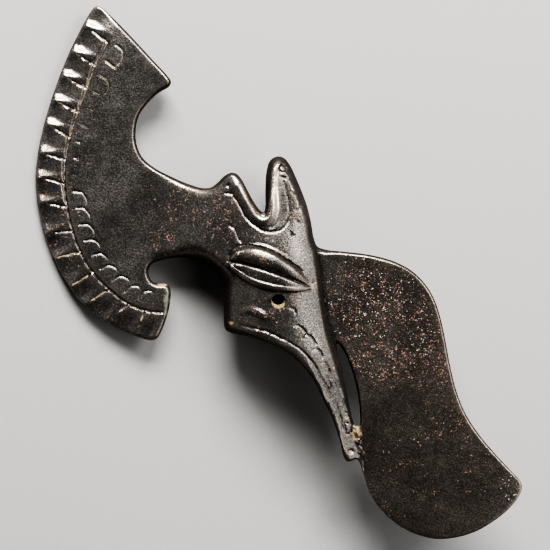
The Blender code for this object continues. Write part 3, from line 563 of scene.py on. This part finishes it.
BEAK_SCALES = (
    ((4.4, -7), (5.5, -6.6), (6.7, -7.4), (7.7, -9)),
    ((6.6, -10.3), (7.7, -9.2), (9.4, -10), (10.6, -12.2)),
    ((9.3, -13.9), (10.7, -13), (11.9, -14.2), (12.2, -15.8)),
    ((11.6, -17.4), (13, -16.9), (13.9, -18.6), (14.2, -20.4)),
    ((13.8, -21.6), (15, -21.4), (15.8, -23.4), (16.2, -25.3)),
)
BEAK_SCALE_DEPTHS = (0.42, 0.42, 0.36, 0.22, 0.16)
BEAK_MARKS = (
    ((8, -14.9), (9.2, -16.6)), ((-10.2, -3.3), (-10.1, -5.3)), ((18.4, -30.8), (19.4, -31.2)),
    ((19.4, -31.2), (19.7, -32.6)), ((18.3, -33.9), (19.9, -34.1)), ((18.4, -33.9), (18.9, -37)),
    ((18.9, -37), (20.3, -36.8)), ((19.9, -34.1), (20.3, -36.8)), ((3.1, -1.8), (4.4, -2.2), (4.8, -3.4)),
)
BEAK_PIT = (20.1, -41.8, 0.8)
LIP_NOSTRIL = (-13.2, -5.9, 0.7)

raise_bead(CHIN_FOLD, 3.2, 0.5, 2)
for streak in BEAK_STREAKS:
    raise_bead(streak, 1.3, 0.22, 3)
chase(LOWER_LIP_LINE, 1, 0.52, 1, 2)
chase(LOWER_LIP_END, 0.75, 0.36, 1.5, 5)
for line in BEAK_GROOVES:
    chase(line, 0.8, 0.24, 1.5, 3)
for scale, depth in zip(BEAK_SCALES, BEAK_SCALE_DEPTHS):
    chase(scale, 0.7, depth, 0.4, 0.6)
for mark in BEAK_MARKS:
    chase(mark, 0.6, 0.28, 0.2, 0.2)
pits.append((*BEAK_PIT, 0.9))
pits.append((*LIP_NOSTRIL, 0.5))

# --- Blade, and the foot of the slit ---
# The broad drooping blade is cast plain and thins to its cutting edge. The slit between it and the
# beak is closed at its foot by a knob of corroded metal, with a short arm running across below it.
BLADE_PLATE = (0.45, 0.75, 6, 0.03)
# The knob and the arm: where each runs, its half width and its height.
KNOB = (((21.3, -34.4), (22, -36.6), (22, -39.2)), 1.3, 2.7)
ARM = (((19.6, -38.6), (21.2, -40.4), (22.9, -42.6)), 1.1, 2.4)
LUMP_HEIGHT, LUMPS_PER_MM = 1.1, 1.5


def knob_height(points):
    """Half thickness of the corroded knob and the arm below it."""
    height = np.full(len(points), -1.0)
    for curve, half_width, top in (KNOB, ARM):
        which, distance, _, _ = beside(points, smooth_curve(curve), 2.2 * half_width)
        dome = top * (1 - (distance / half_width) ** 2)
        height[which] = np.maximum(height[which], dome)
    for k in np.flatnonzero(height > 0):
        height[k] += LUMP_HEIGHT * noise.noise((*(points[k] * LUMPS_PER_MM), 0.5))
    return height


# --- The casting, put together ---
# The relief of all the parts is laid over a mesh of the outline, with the edges dressed round, then
# doubled to the other face. The haft's bore and the peg hole are cut last, as the core and drill did.
# The edge's rounding at places on the outline: how far in it reaches there, and how full it is.
EDGE_ROUNDING = (
    (-55, 70, 1.1, 2), (-64, 30, 1.1, 2), (-42, -6, 1.1, 2), (-32, 61, 0.9, 2.2), (-39.5, 46, 1, 2),
    (-31, 35, 1, 2), (-20, 31.5, 0.9, 2), (-17.4, 33.2, 1.2, 2), (-13, 35.5, 1.2, 2.2),
    (-9.5, 32, 0.8, 2.4), (-6, 25.5, 0.9, 2.2), (-3.7, 33, 2.6, 2.2), (0, 40, 3, 2), (6, 31, 2.6, 2),
    (10, 18, 2, 2), (20, 13.5, 1, 2.4), (42, 2, 0.8, 2.4), (50, -26, 0.8, 2.4), (66, -50, 0.8, 2.4),
    (44, -66, 0.8, 2), (24, -50, 1, 2), (20, -44, 0.6, 2), (16.6, -37.5, 0.5, 2), (14, -30.5, 0.6, 2),
    (9, -21.5, 1.2, 2), (0, -14, 1.9, 2), (-12, -9, 1.9, 2), (-15, 0, 2, 2), (-17.5, 8, 4, 2),
    (-24, 12, 4.6, 2), (-31, 12, 2.6, 2), (-36.5, 8, 1.2, 2), (-31, 0, 1.2, 2), (18, -15, 1, 2),
    (20, -26, 1, 2), (22, -34, 0.9, 2),
)
LEAST_METAL = 0.3
# The fillets, and from where to where the crest gives way to the blade and the tube's fillet fades.
NECK_FILLET, TUBE_FILLET, KNOB_FILLET = 1.3, 0.9, 0.3
CREST_TO_BLADE, FILLET_FADE = (-2, 8), (4, 9)
TUBE_FOOT_ACROSS, TUBE_FOOT_UP = (8, 18, 400), (-11.5, 13.6, 0.5)
# The mesh: rows round the edge, steps between points, and how far its finer parts reach.
RIM_ANGLES = (12, 24, 36, 48, 60, 74, 90)
FILL_STEPS = (("carved", 0.42), ("head", 0.52), ("plate", 0.85))
LEAST_GAP, CARVED_REACH = 0.62, 1.1
HEAD_LOW, BEAK_LOW, FLUTES_RIGHT, FLUTES_WIDE = -7, -46, -30, 9.5
# The ends of the haft's bore: place up the haft, half width and half depth.
SOCKET_TOP, SOCKET_FOOT = (11.5, 9.2, 7.2), (-34, 13, 9.2)
# The peg hole, down to the earth still packed in it: middle, radius, and from which height to which.
PEG_HOLE = (
    ("drill", (0, 0), 2, 9.7, 20), ("past_the_earth", (-0.1, 0.85), 1.85, -8.9, 9.8),
    ("drill_below", (0, 0), 2, -20, -10),
)
REST_TURN = (math.radians(0.08), math.radians(-10.42), 0)
SHARP_ANGLE = math.radians(48)


def from_edge(points):
    """Distance from each point to the outline or the slit, whichever is nearer."""
    return np.minimum(nearest_on(points, outline)[0], nearest_on(points, slit)[0])


def edge_rounding(points):
    """How far in the edge's rounding reaches at each point, and how full it is."""
    places = np.array(EDGE_ROUNDING)
    gaps = np.hypot(points[:, :1] - places[:, 0], points[:, 1:] - places[:, 1])
    weights = 1 / (gaps + 0.5) ** 4
    weights = weights / weights.sum(axis=1)[:, None]
    return weights @ places[:, 2], weights @ places[:, 3]


def half_thickness(points):
    """Half thickness of the casting at each point of its plane."""
    x, y = points.T
    crest = plate_height(points, crest_edge, CREST_PLATE) - flute_fall(points)
    crest = blend_up(np.maximum(crest, LEAST_METAL), neck_height(x, y), NECK_FILLET)
    blade = plate_height(points, cutting_edge, BLADE_PLATE)
    height = crest + (blade - crest) * ease(x, *CREST_TO_BLADE)
    height = blend_up(height, tube_height(x, y), TUBE_FILLET * (1 - ease(x, *FILLET_FADE)))
    height = blend_up(height, knob_height(points), KNOB_FILLET)
    height = height + eye_rise(points) + bead_height(points)
    height = height - chased_depth(points) - pit_depth(points)
    reach, fullness = edge_rounding(points)
    edge = from_edge(points)
    height = height - patchiness(points, NECK_SHOULDER) * np.maximum(1 - edge / SHOULDER_REACH, 0) ** 2
    short = 1 - np.minimum(edge / reach, 1)
    return np.where(edge > 1e-4, height * (1 - short ** fullness) ** (1 / fullness), 0)


def foot_of_tube():
    """Points down the casting where the tube's flank meets the blade."""
    x, foot = np.linspace(*TUBE_FOOT_ACROSS), []
    for y in np.arange(*TUBE_FOOT_UP):
        row = np.column_stack([x, np.full(len(x), y)])
        higher = tube_height(*row.T) > plate_height(row, cutting_edge, BLADE_PLATE)
        foot.append((x[higher].max(), y))
    return np.array(foot)


def clearance(points, lines):
    """Distance from each point to the nearest of some lines' points."""
    taken = np.vstack(lines)
    tree = KDTree(len(taken))
    for k, point in enumerate(taken):
        tree.insert((point[0], point[1], 0), k)
    tree.balance()
    return np.array([tree.find((point[0], point[1], 0))[2] for point in points])


def rim_rows():
    """Rows of points along the outline and the slit, one for each step of the edge's rounding."""
    rows = []
    for loop in (outline, slit):
        run = np.roll(loop[:-1], -1, axis=0) - np.roll(loop[:-1], 1, axis=0)
        inward = -left_of(unit(run))
        for angle in RIM_ANGLES:
            depth = edge_rounding(loop[:-1])[0] * (1 - math.cos(math.radians(angle)))
            row = loop[:-1] + inward * depth[:, None]
            kept = from_edge(row) > 0.96 * depth
            row, kept = np.vstack([row, row[:1]]), np.append(kept, kept[0])
            breaks = np.flatnonzero(np.diff(kept.astype(int))) + 1
            rows.extend(part for part, good in zip(np.split(row, breaks), np.split(kept, breaks)) if good[0])
    return rows


def carved_lines():
    """The lines that the mesh follows: the eye's arcs, the tube's foot, chased lines and their lips."""
    lines = eye_lines + [tube_foot]
    for curve, half_width, *_ in strokes:
        lip = left_of(unit(np.gradient(curve, axis=0))) * half_width
        lines.extend([curve, curve + lip, curve - lip])
    kept = [line[inside(line, outline) & (from_edge(line) > 0.4)] for line in lines]
    return [line for line in kept if len(line) > 1]


def fill_points(rows, lines):
    """Loose points between the rows and lines, closest beside the carving and widest on the plates."""
    chosen = []
    low, high = outline.min(axis=0), outline.max(axis=0)
    for kind, step in FILL_STEPS:
        across, up = np.arange(low[0], high[0], step), np.arange(low[1], high[1], step * math.sqrt(0.75))
        x, y = np.meshgrid(across, up)
        x[1::2] += step / 2
        grid = np.column_stack([x.ravel(), y.ravel()])
        on_head = (tube_height(*grid.T) > HEAD_LOW) & (grid[:, 1] > BEAK_LOW)
        on_flutes = (grid[:, 0] < FLUTES_RIGHT) & (clearance(grid, [groove]) < FLUTES_WIDE)
        if kind != "plate":
            grid = grid[on_head | on_flutes]
        if kind == "carved":
            grid = grid[clearance(grid, lines) < CARVED_REACH]
        grid = grid[inside(grid, outline) & ~inside(grid, slit)]
        grid = grid[clearance(grid, rows + lines + [outline, slit] + chosen) > LEAST_GAP * step]
        chosen.append(grid)
    return np.vstack(chosen)


def plan_mesh():
    """Triangles over the casting's plane, following its outline and its carving."""
    rows, lines = rim_rows(), carved_lines()
    loose = fill_points(rows, lines)
    points, edges = [], []
    for loop in (outline[:-1], slit[:-1]):
        first = len(points)
        points.extend(loop)
        edges.extend((first + k, first + (k + 1) % len(loop)) for k in range(len(loop)))
    for line in rows + lines:
        first = len(points)
        points.extend(line)
        edges.extend((first + k, first + k + 1) for k in range(len(line) - 1))
    points.extend(loose)
    places, _, faces, _, _, _ = delaunay_2d_cdt([Vector(p) for p in points], edges, [], 1, 1e-3)
    places = np.array([tuple(p) for p in places])
    middles = np.array([places[list(face)].mean(axis=0) for face in faces])
    return places, [face for face, hollow in zip(faces, inside(middles, slit)) if not hollow]


def in_scene(name, data):
    """A named object in the scene that shows the data."""
    made = bpy.data.objects.new(name, data)
    bpy.context.collection.objects.link(made)
    return made


def add_piece(name, body):
    """A bmesh as a named object in the scene."""
    mesh = bpy.data.meshes.new(name)
    body.to_mesh(mesh)
    body.free()
    return in_scene(name, mesh)


def cut_away(piece, cutter):
    """Take the cutter's shape out of the piece for good."""
    boolean = piece.modifiers.new("cut", "BOOLEAN")
    boolean.operation = "DIFFERENCE"
    boolean.solver = "EXACT"
    boolean.object = cutter
    bpy.context.view_layer.update()
    result = bpy.data.meshes.new_from_object(piece.evaluated_get(bpy.context.evaluated_depsgraph_get()))
    piece.modifiers.clear()
    piece.data = result
    bpy.data.objects.remove(cutter, do_unlink=True)


def rows_of(items, what, kind=float, width=3):
    """A mesh's numbers as an array, a row for each part."""
    values = np.empty(len(items) * width, dtype=kind)
    items.foreach_get(what, values)
    return values.reshape(-1, width)


tube_foot = foot_of_tube()
places, faces = plan_mesh()
heights = half_thickness(places)
heights[heights < 0.02] = 0
body = bmesh.new()
verts = [body.verts.new((x * MM, y * MM, z * MM)) for (x, y), z in zip(places, heights)]
for face in faces:
    body.faces.new([verts[k] for k in face])
bmesh.ops.mirror(body, geom=body.verts[:] + body.faces[:], axis="Z", merge_dist=1e-7)
bmesh.ops.recalc_face_normals(body, faces=body.faces[:])
casting = add_piece("bronze_axe_head", body)

core = bmesh.new()
rings = []
for y, half_width, half_depth in (SOCKET_FOOT, SOCKET_TOP):
    ring = bmesh.ops.create_circle(core, segments=96, radius=1)["verts"]
    bmesh.ops.scale(core, vec=(half_width * MM, half_depth * MM, 1), verts=ring)
    bmesh.ops.rotate(core, matrix=Matrix.Rotation(math.radians(90), 3, "X"), verts=ring)
    bmesh.ops.translate(core, vec=(0, y * MM, 0), verts=ring)
    rings.append(ring)
bmesh.ops.bridge_loops(core, edges=core.edges[:])
for ring in rings:
    bmesh.ops.contextual_create(core, geom=ring)
bmesh.ops.recalc_face_normals(core, faces=core.faces)
cut_away(casting, add_piece("clay_core", core))

for name, (x, y), radius, low, high in PEG_HOLE:
    drill = bmesh.new()
    bmesh.ops.create_cone(
        drill, cap_ends=True, segments=64,
        radius1=radius * MM, radius2=radius * MM, depth=(high - low) * MM,
        matrix=Matrix.Translation((x * MM, y * MM, (low + high) * MM / 2)),
    )
    cut_away(casting, add_piece(name, drill))

mesh = casting.data
spots = rows_of(mesh.vertices, "co") / MM
turn = Euler(REST_TURN).to_matrix()
turned = spots * MM @ np.array(turn).T
low, high = turned.min(axis=0), turned.max(axis=0)
cad_low, cad_high = (np.array(corner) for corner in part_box("axe_head"))
shift = Vector((*((cad_low + cad_high)[:2] - (low + high)[:2]) / 2, cad_low[2] - low[2]))
plane = Matrix.Translation(shift) @ turn.to_4x4()
mesh.transform(plane)
mesh.shade_smooth()
mesh.set_sharp_from_angle(angle=SHARP_ANGLE)
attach(casting, "root")
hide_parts("axe_head")

# --- Patina ---
# Burial has turned the bronze near black and glossy, with red-brown cuprite speckles in patches, fine
# pale specks, tan earth left in the recesses, a green bloom at one corner, and edges rubbed brighter.
# On top of these, painted shade with some dirt darkens the creases, and painted shade darkens the steep
# sides and a few patches, while painted highlights brighten faces turned towards the upper lights.
# Each patch: its middle, its reach across and up, and how dense it is there.
RUST_PATCHES = (
    (25, 0, 12, 12, 0.72), (38, -4, 8, 9, 0.66), (43, -17, 5, 8, 0.72), (22, -16, 8, 8, 0.72),
    (33, -17, 9, 7, 0.75), (47, -34, 8, 7, 0.6), (54, -46, 8, 6, 0.38), (36, -48, 12, 9, 0.35),
    (28, -56, 6, 6, 0.45), (-27, 26, 9, 7, 0.6), (-16, 22, 6, 8, 0.7), (-32, 17, 6, 5, 0.72),
    (-4, 13.5, 8, 5, 0.5), (5, 26, 3, 10, 0.6), (-5, -4, 8, 4, 0.6), (6, 2, 3, 3, 0.6),
    (-60, 20, 6, 30, 0.45), (-45, -4, 9, 4, 0.45), (12, -12, 3, 7, 0.4), (-4, 30, 3, 8, 0.5),
    (7.6, 27, 1.6, 9, 0.9),
)
PALE_PATCHES = (
    (27, 0, 12, 11, 0.33), (37, -11, 7, 9, 0.23), (22, -19, 7, 4, 0.26), (65, -53, 3.2, 3.2, 0.44),
    (57.3, -53.5, 1.4, 1, 0.44), (40, -40, 14, 8, 0.06), (-25, 25, 14, 12, 0.05), (-5, 12, 9, 6, 0.14),
    (-45, 50, 12, 25, 0.02),
)
SOIL_PATCHES = (
    (21.8, -36.8, 1.3, 2.5, 0.55), (-13.2, -6, 0.6, 0.45, 1), (20.1, -42, 0.5, 0.4, 0.8),
    (-34.5, 8, 0.5, 2, 0.6), (-32.5, 4.6, 1.6, 0.4, 0.6), (18.9, -32.6, 0.45, 0.45, 0.9),
    (9, 4.6, 0.6, 0.5, 0.5), (17.2, -13.4, 0.5, 2, 0.5),
)
# Painted shade that dims the highlights on the jaw, the eye and the head.
SHADE_PATCHES = (
    (3.2, 31, 2.1, 8, 0.6), (2.5, 9.8, 4.5, 2.8, 0.45), (-12, 2, 4, 8, 0.3), (7.3, 26, 1.8, 8, 0.35),
)
# Painted highlights: places where faces turned towards the upper lights are made brighter bronze.
HIGHLIGHT_PATCHES = (
    (-8.5, 28, 4.5, 6.5, 1), (-3, 24, 3, 2, 1), (-0.6, 31.5, 1.2, 8, 0.9), (-23.5, 32, 7, 2.2, 0.7),
    (-5.5, 13, 4, 2, 0.5),
)
GREEN_PATCHES = ((-30.8, -1, 1.1, 2.8, 0.8),)
# Points above these shares of the half thickness, off the tube and on it, are on the outer skin.
SKIN_SHARES = (0.3, 0.82)
# The bends per metre that darken a hollow fully, with dirt and painted shade, and rub an edge fully.
HOLLOW_BEND, RUBBED_BEND = 900, 1400
# Painted highlight: the way the upper lights lie, and how far a face must turn that way to be brightened.
LIT_SIDE, LIT_FACING = (0.5, 0.87), (0.1, 0.3)
# The tilt over which steep sides are darkened as painted shade; the reach of the darker skin towards the
# blade; and its fade off the tube.
STEEP, DARK_SIDE, OFF_TUBE = (0.24, 0.48), (4, 26), (0.5, 2.5)
# Earth in the crest's lines: the upper stretch's middle and reach, the lower one's top, and how much.
UPPER_EARTH, LOWER_EARTH_TOP, LINE_EARTH = (58, 26), 22, 0.4


def rubbed(mesh):
    """How much each vertex stands out from its neighbours, as a hand would rub it."""
    spots, normals = rows_of(mesh.vertices, "co"), rows_of(mesh.vertex_normals, "vector")
    a, b = rows_of(mesh.edges, "vertices", int, 2).T
    away = spots[b] - spots[a]
    squared = np.maximum((away ** 2).sum(axis=1), 1e-12)
    bend = ((normals[b] - normals[a]) * away).sum(axis=1) / squared
    count = len(spots)
    total, share = np.zeros(count), np.zeros(count)
    for ends in (a, b):
        np.add.at(total, ends, bend)
        np.add.at(share, ends, 1)
    bend = total / np.maximum(share, 1)
    for _ in range(3):
        mean = np.zeros(count)
        np.add.at(mean, a, bend[b])
        np.add.at(mean, b, bend[a])
        bend = 0.5 * bend + 0.5 * mean / np.maximum(share, 1)
    return bend


plan = spots[:, :2]
x, y = plan.T
on_tube = tube_height(x, y)
skin = np.where(on_tube > 1, SKIN_SHARES[1], SKIN_SHARES[0]) * np.maximum(half_thickness(plan), 0.1)
recess = chased_depth(plan) * (np.abs(spots[:, 2]) > skin)
bend = rubbed(mesh)
# Painted shade along the foot of the tube, which hides the highlight of its fillet.
in_corner = 1 - ease(nearest_on(plan, tube_foot)[0], 0.3, 1.2)
normals = rows_of(mesh.vertex_normals, "vector") @ np.array(turn)
# Where painted highlights may go: the flutes and the highlight patches.
highlight_places = np.maximum(flute_fall(plan) > 0.05, patchiness(plan, HIGHLIGHT_PATCHES))
upper_lines = np.exp(-((y - UPPER_EARTH[0]) / UPPER_EARTH[1]) ** 2) * (x < -40)
from_groove, side, _ = nearest_on(plan, groove)
flutes = (side < 0) * (from_groove < 9) * ease(from_groove, 0.5, 2)
lower_lines = 1.5 * flutes * ease(LOWER_EARTH_TOP - y, 0, 10)
in_lines = LINE_EARTH * np.maximum(upper_lines, lower_lines) * (recess > 0.03)
in_hole = (np.hypot(x, y) < 2.05) & (np.abs(spots[:, 2] - PEG_HOLE[0][3]) < 0.1)
# How strongly each finish shows at each vertex.
finishes = {
    # Painted shade, with some dirt: in creases, along the tube's foot and in the shade patches.
    "hollow": np.maximum.reduce([-bend / HOLLOW_BEND, in_corner, patchiness(plan, SHADE_PATCHES)]),
    # Edges worn brighter, and painted highlights on the flutes and patches where they face the upper lights.
    "rubbed": np.maximum(bend / RUBBED_BEND, highlight_places * ease(normals[:, :2] @ LIT_SIDE, *LIT_FACING)),
    # Steep sides, which are darkened as painted shade.
    "steep": ease(1 - np.abs(normals[:, 2]), *STEEP),
    "dark": ease(x - 0.25 * y, *DARK_SIDE) * (1 - ease(on_tube, *OFF_TUBE)),
    "rust": patchiness(plan, RUST_PATCHES),
    "pale": patchiness(plan, PALE_PATCHES),
    "soil": np.maximum(patchiness(plan, SOIL_PATCHES), np.where(in_hole, 1, in_lines)),
    "green": patchiness(plan, GREEN_PATCHES),
}
for name, values in finishes.items():
    layer = mesh.attributes.new(name, "FLOAT", "POINT")
    layer.data.foreach_set("value", np.clip(values, 0, 1).astype(np.float32))

# Colours, from darkest to lightest where there are two.
LIGHT_SKIN = ((0.076, 0.071, 0.066), (0.252, 0.234, 0.217))
DARK_SKIN = ((0.077, 0.067, 0.059), (0.232, 0.201, 0.174))
CUPRITE = ((0.105, 0.048, 0.036), (0.25, 0.14, 0.108))
TAN_EARTH = ((0.17, 0.11, 0.055), (0.52, 0.4, 0.23))
# The first is worn bronze on the edges and a painted highlight on faces towards the upper lights.
RUBBED_AND_HIGHLIT_BRONZE, PALE_SPECK = (0.34, 0.285, 0.235), (0.66, 0.62, 0.55)
# The first is dirt in the creases, and painted shade there, on steep sides and in patches.
BLACK_DIRT_AND_SHADE, GREEN_BLOOM, BRONZE_TINT = (0.03, 0.025, 0.022), (0.13, 0.2, 0.14), (0.3, 0.27, 0.24)


def feed(tree, node, inputs):
    """Give a node its inputs, from other nodes' outputs or as plain values."""
    for socket, value in inputs.items():
        if isinstance(value, bpy.types.NodeSocket):
            tree.links.new(value, node.inputs[socket])
        else:
            node.inputs[socket].default_value = value


def wire(tree, kind, inputs=(), **settings):
    """A new node with its settings and its inputs."""
    made = tree.nodes.new("ShaderNode" + kind)
    for name, value in settings.items():
        setattr(made, name, value)
    feed(tree, made, dict(inputs))
    return made


def math_of(tree, operation, a, b):
    """The result of a sum on two numbers."""
    return wire(tree, "Math", {0: a, 1: b}, operation=operation).outputs[0]


def times(tree, a, b, plus=0):
    """A number times another, with a third added."""
    return wire(tree, "Math", {0: a, 1: b, 2: plus}, operation="MULTIPLY_ADD").outputs[0]


def ramp(tree, value, low, high, to_low=0, to_high=1):
    """A value brought from one range to another with a smooth S."""
    inputs = {"Value": value, "From Min": low, "From Max": high, "To Min": to_low, "To Max": to_high}
    return wire(tree, "MapRange", inputs, interpolation_type="SMOOTHSTEP").outputs[0]


def mix_colour(tree, share, a, b):
    """Two colours mixed by a share."""
    a, b = (value if isinstance(value, bpy.types.NodeSocket) else (*value, 1) for value in (a, b))
    return wire(tree, "Mix", {0: share, 6: a, 7: b}, data_type="RGBA").outputs[2]


def cloud(tree, at, scale, detail=2, roughness=0.5):
    """Smooth noise with about so many lumps to the metre."""
    inputs = {"Vector": at, "Scale": scale, "Detail": detail, "Roughness": roughness}
    return wire(tree, "TexNoise", inputs).outputs[0]


def speckle_group():
    """Grains of a mineral scattered on a surface: denser where the density is high."""
    group = bpy.data.node_groups.new("mineral_speckle", "ShaderNodeTree")
    for name, way, kind in (
        ("Vector", "INPUT", "Vector"), ("Density", "INPUT", "Float"), ("Grain", "INPUT", "Float"),
        ("Crispness", "INPUT", "Float"), ("Mask", "OUTPUT", "Float"),
    ):
        group.interface.new_socket(name, in_out=way, socket_type="NodeSocket" + kind)
    enter, leave = group.nodes.new("NodeGroupInput"), group.nodes.new("NodeGroupOutput")
    fine_scale = math_of(group, "DIVIDE", 1000, enter.outputs["Grain"])
    wide_scale = times(group, fine_scale, 0.23)
    fine = cloud(group, enter.outputs["Vector"], fine_scale, 1.5, 0.55)
    wide = cloud(group, enter.outputs["Vector"], wide_scale, 2, 0.6)
    level = times(group, wide, 0.45, times(group, fine, 0.75))
    edge = times(group, enter.outputs["Density"], -0.16, 0.8)
    past = math_of(group, "DIVIDE", math_of(group, "SUBTRACT", level, edge), enter.outputs["Crispness"])
    mask = wire(group, "Clamp", {"Value": past}).outputs[0]
    present = ramp(group, enter.outputs["Density"], 0, 0.12)
    group.links.new(times(group, mask, present), leave.inputs["Mask"])
    return group


def speckle(tree, at, density, grain, crispness):
    """One scattering of mineral grains."""
    inputs = {"Vector": at, "Density": density, "Grain": grain, "Crispness": crispness}
    return wire(tree, "Group", inputs, node_tree=mineral_speckle).outputs["Mask"]


mineral_speckle = speckle_group()
patina = bpy.data.materials.new("dark_patina")
patina.use_nodes = True
tree = patina.node_tree
shader = tree.nodes["Principled BSDF"]
at = wire(tree, "TexCoord").outputs["Object"]
of_mesh = {name: wire(tree, "Attribute", attribute_name=name).outputs["Fac"] for name in finishes}
broad = cloud(tree, at, 1 / 0.016, 3)
mottle = cloud(tree, at, 1 / 0.0028, 4, 0.6)
grain = cloud(tree, at, 1 / 0.00044, 1.5, 0.6)
tone = times(tree, mottle, 0.2, times(tree, broad, 0.26))
tone = times(tree, math_of(tree, "SUBTRACT", grain, 0.35), 1.6, tone)
tone = ramp(tree, tone, 0.25, 1)
light_skin = mix_colour(tree, tone, *LIGHT_SKIN)
dark_skin = mix_colour(tree, tone, *DARK_SKIN)
colour = mix_colour(tree, of_mesh["dark"], light_skin, dark_skin)
# Worn edges, and painted highlights, in brighter and smoother bronze.
wear_and_highlight = times(tree, of_mesh["rubbed"], ramp(tree, mottle, 0.3, 0.6, 0.35, 1))
colour = mix_colour(tree, wear_and_highlight, colour, RUBBED_AND_HIGHLIT_BRONZE)
rust = speckle(tree, at, of_mesh["rust"], 0.48, 0.06)
colour = mix_colour(tree, rust, colour, mix_colour(tree, ramp(tree, grain, 0.4, 0.62), *CUPRITE))
pale = speckle(tree, at, of_mesh["pale"], 0.36, 0.04)
colour = mix_colour(tree, pale, colour, PALE_SPECK)
# Painted shade with some dirt, as near black: creases, steep sides, the tube's foot and the shade patches.
dirt_and_painted_shade = times(tree, math_of(tree, "MAXIMUM", of_mesh["hollow"], of_mesh["steep"]), 0.8)
colour = mix_colour(tree, dirt_and_painted_shade, colour, BLACK_DIRT_AND_SHADE)
patchy_soil = times(tree, math_of(tree, "SUBTRACT", mottle, 0.5), of_mesh["soil"], of_mesh["soil"])
earth = times(tree, ramp(tree, patchy_soil, 0.2, 0.6), ramp(tree, grain, 0.36, 0.52, 0.35, 1))
colour = mix_colour(tree, earth, colour, mix_colour(tree, mottle, *TAN_EARTH))
bloom = times(tree, of_mesh["green"], ramp(tree, mottle, 0.4, 0.58))
colour = mix_colour(tree, bloom, colour, GREEN_BLOOM)
dull = rust
for crust in (pale, earth, bloom):
    dull = math_of(tree, "MAXIMUM", dull, crust)
gloss = times(tree, mottle, 0.16, ramp(tree, broad, 0.35, 0.65, 0.19, 0.26))
gloss = times(tree, wear_and_highlight, -0.1, gloss)
gloss = times(tree, of_mesh["steep"], 0.25, gloss)
rough = times(tree, dull, 0.45, gloss)
relief = times(tree, mottle, 1.4, times(tree, grain, 2.8))
relief = times(tree, rust, 0.5, relief)
relief = times(tree, earth, 1.5, relief)
roughened = times(tree, wear_and_highlight, -0.42, 0.55)
bump = wire(tree, "Bump", {"Height": relief, "Strength": roughened, "Distance": 0.00005})
feed(tree, shader, {
    "Base Color": colour, "Roughness": rough, "Metallic": times(tree, dull, -0.8, 0.88),
    "Specular Tint": (*BRONZE_TINT, 1), "Normal": bump.outputs[0],
})
casting.data.materials.clear()
casting.data.materials.append(patina)

# --- Table top, lights and camera ---
# The head lies on a plain pale table top. A wide soft light beyond its upper edge rakes over the relief,
# with a small one at the upper right, a broad low one at the right and a weak fill at the left. The
# camera looks straight down on the casting's face.
BOARD = ((0.28, 0.277, 0.272), (0.32, 0.317, 0.312))
sheet = bmesh.new()
bmesh.ops.create_grid(sheet, x_segments=1, y_segments=1, size=3)
table_top = add_piece("table_top", sheet)
pale_board = bpy.data.materials.new("pale_board")
pale_board.use_nodes = True
tree = pale_board.node_tree
at = wire(tree, "TexCoord").outputs["Object"]
fibre = cloud(tree, at, 1 / 0.0012, 4, 0.6)
bump = wire(tree, "Bump", {"Height": fibre, "Strength": 0.3, "Distance": 0.0001})
feed(tree, tree.nodes["Principled BSDF"], {
    "Base Color": mix_colour(tree, fibre, *BOARD), "Roughness": ramp(tree, fibre, 0.3, 0.7, 0.62, 0.72),
    "Normal": bump.outputs[0],
})
table_top.data.materials.append(pale_board)

# Each light: its place from the peg hole, width and height, power and tint.
WARM, SOFT = (1, 0.985, 0.965), (1, 0.99, 0.975)
LIGHTS = (
    ("upper_key", (0.04, 0.725, 0.61), (0.6, 0.36), 27, WARM),
    ("right_key", (0.63, 0.36, 0.61), (0.36, 0.36), 4.6, WARM),
    ("broad_side", (0.74, -0.08, 0.4), (1.15, 0.95), 5.9, SOFT),
    ("left_fill", (-0.68, 0.15, 0.46), (0.8, 0.8), 0.8, SOFT),
)
for name, place, (wide, high), power, tint in LIGHTS:
    lamp = bpy.data.lights.new(name, "AREA")
    lamp.shape, lamp.size, lamp.size_y, lamp.energy, lamp.color = "RECTANGLE", wide, high, power, tint
    stand = in_scene(name, lamp)
    stand.location = plane @ Vector(place)
    stand.rotation_euler = (plane.translation - stand.location).to_track_quat("-Z", "Y").to_euler()

ROOM_GLOW = 0.02
room = bpy.data.worlds.new("studio")
room.use_nodes = True
glow = room.node_tree.nodes["Background"].inputs
glow["Color"].default_value, glow["Strength"].default_value = (1, 1, 1, 1), ROOM_GLOW
bpy.context.scene.world = room

CAMERA_AIM = (-0.98, 7.28)
CAMERA_AWAY = 0.85
FRAME_WIDTH = 154
lens = bpy.data.cameras.new("camera")
lens.sensor_width = 36
lens.lens = lens.sensor_width * CAMERA_AWAY / (FRAME_WIDTH * MM)
lens.clip_start, lens.clip_end = 0.05, 20
camera = in_scene("camera", lens)
camera.matrix_world = plane @ Matrix.Translation((CAMERA_AIM[0] * MM, CAMERA_AIM[1] * MM, CAMERA_AWAY))
bpy.context.scene.camera = camera
bpy.context.scene.view_settings.look = "AgX - High Contrast"
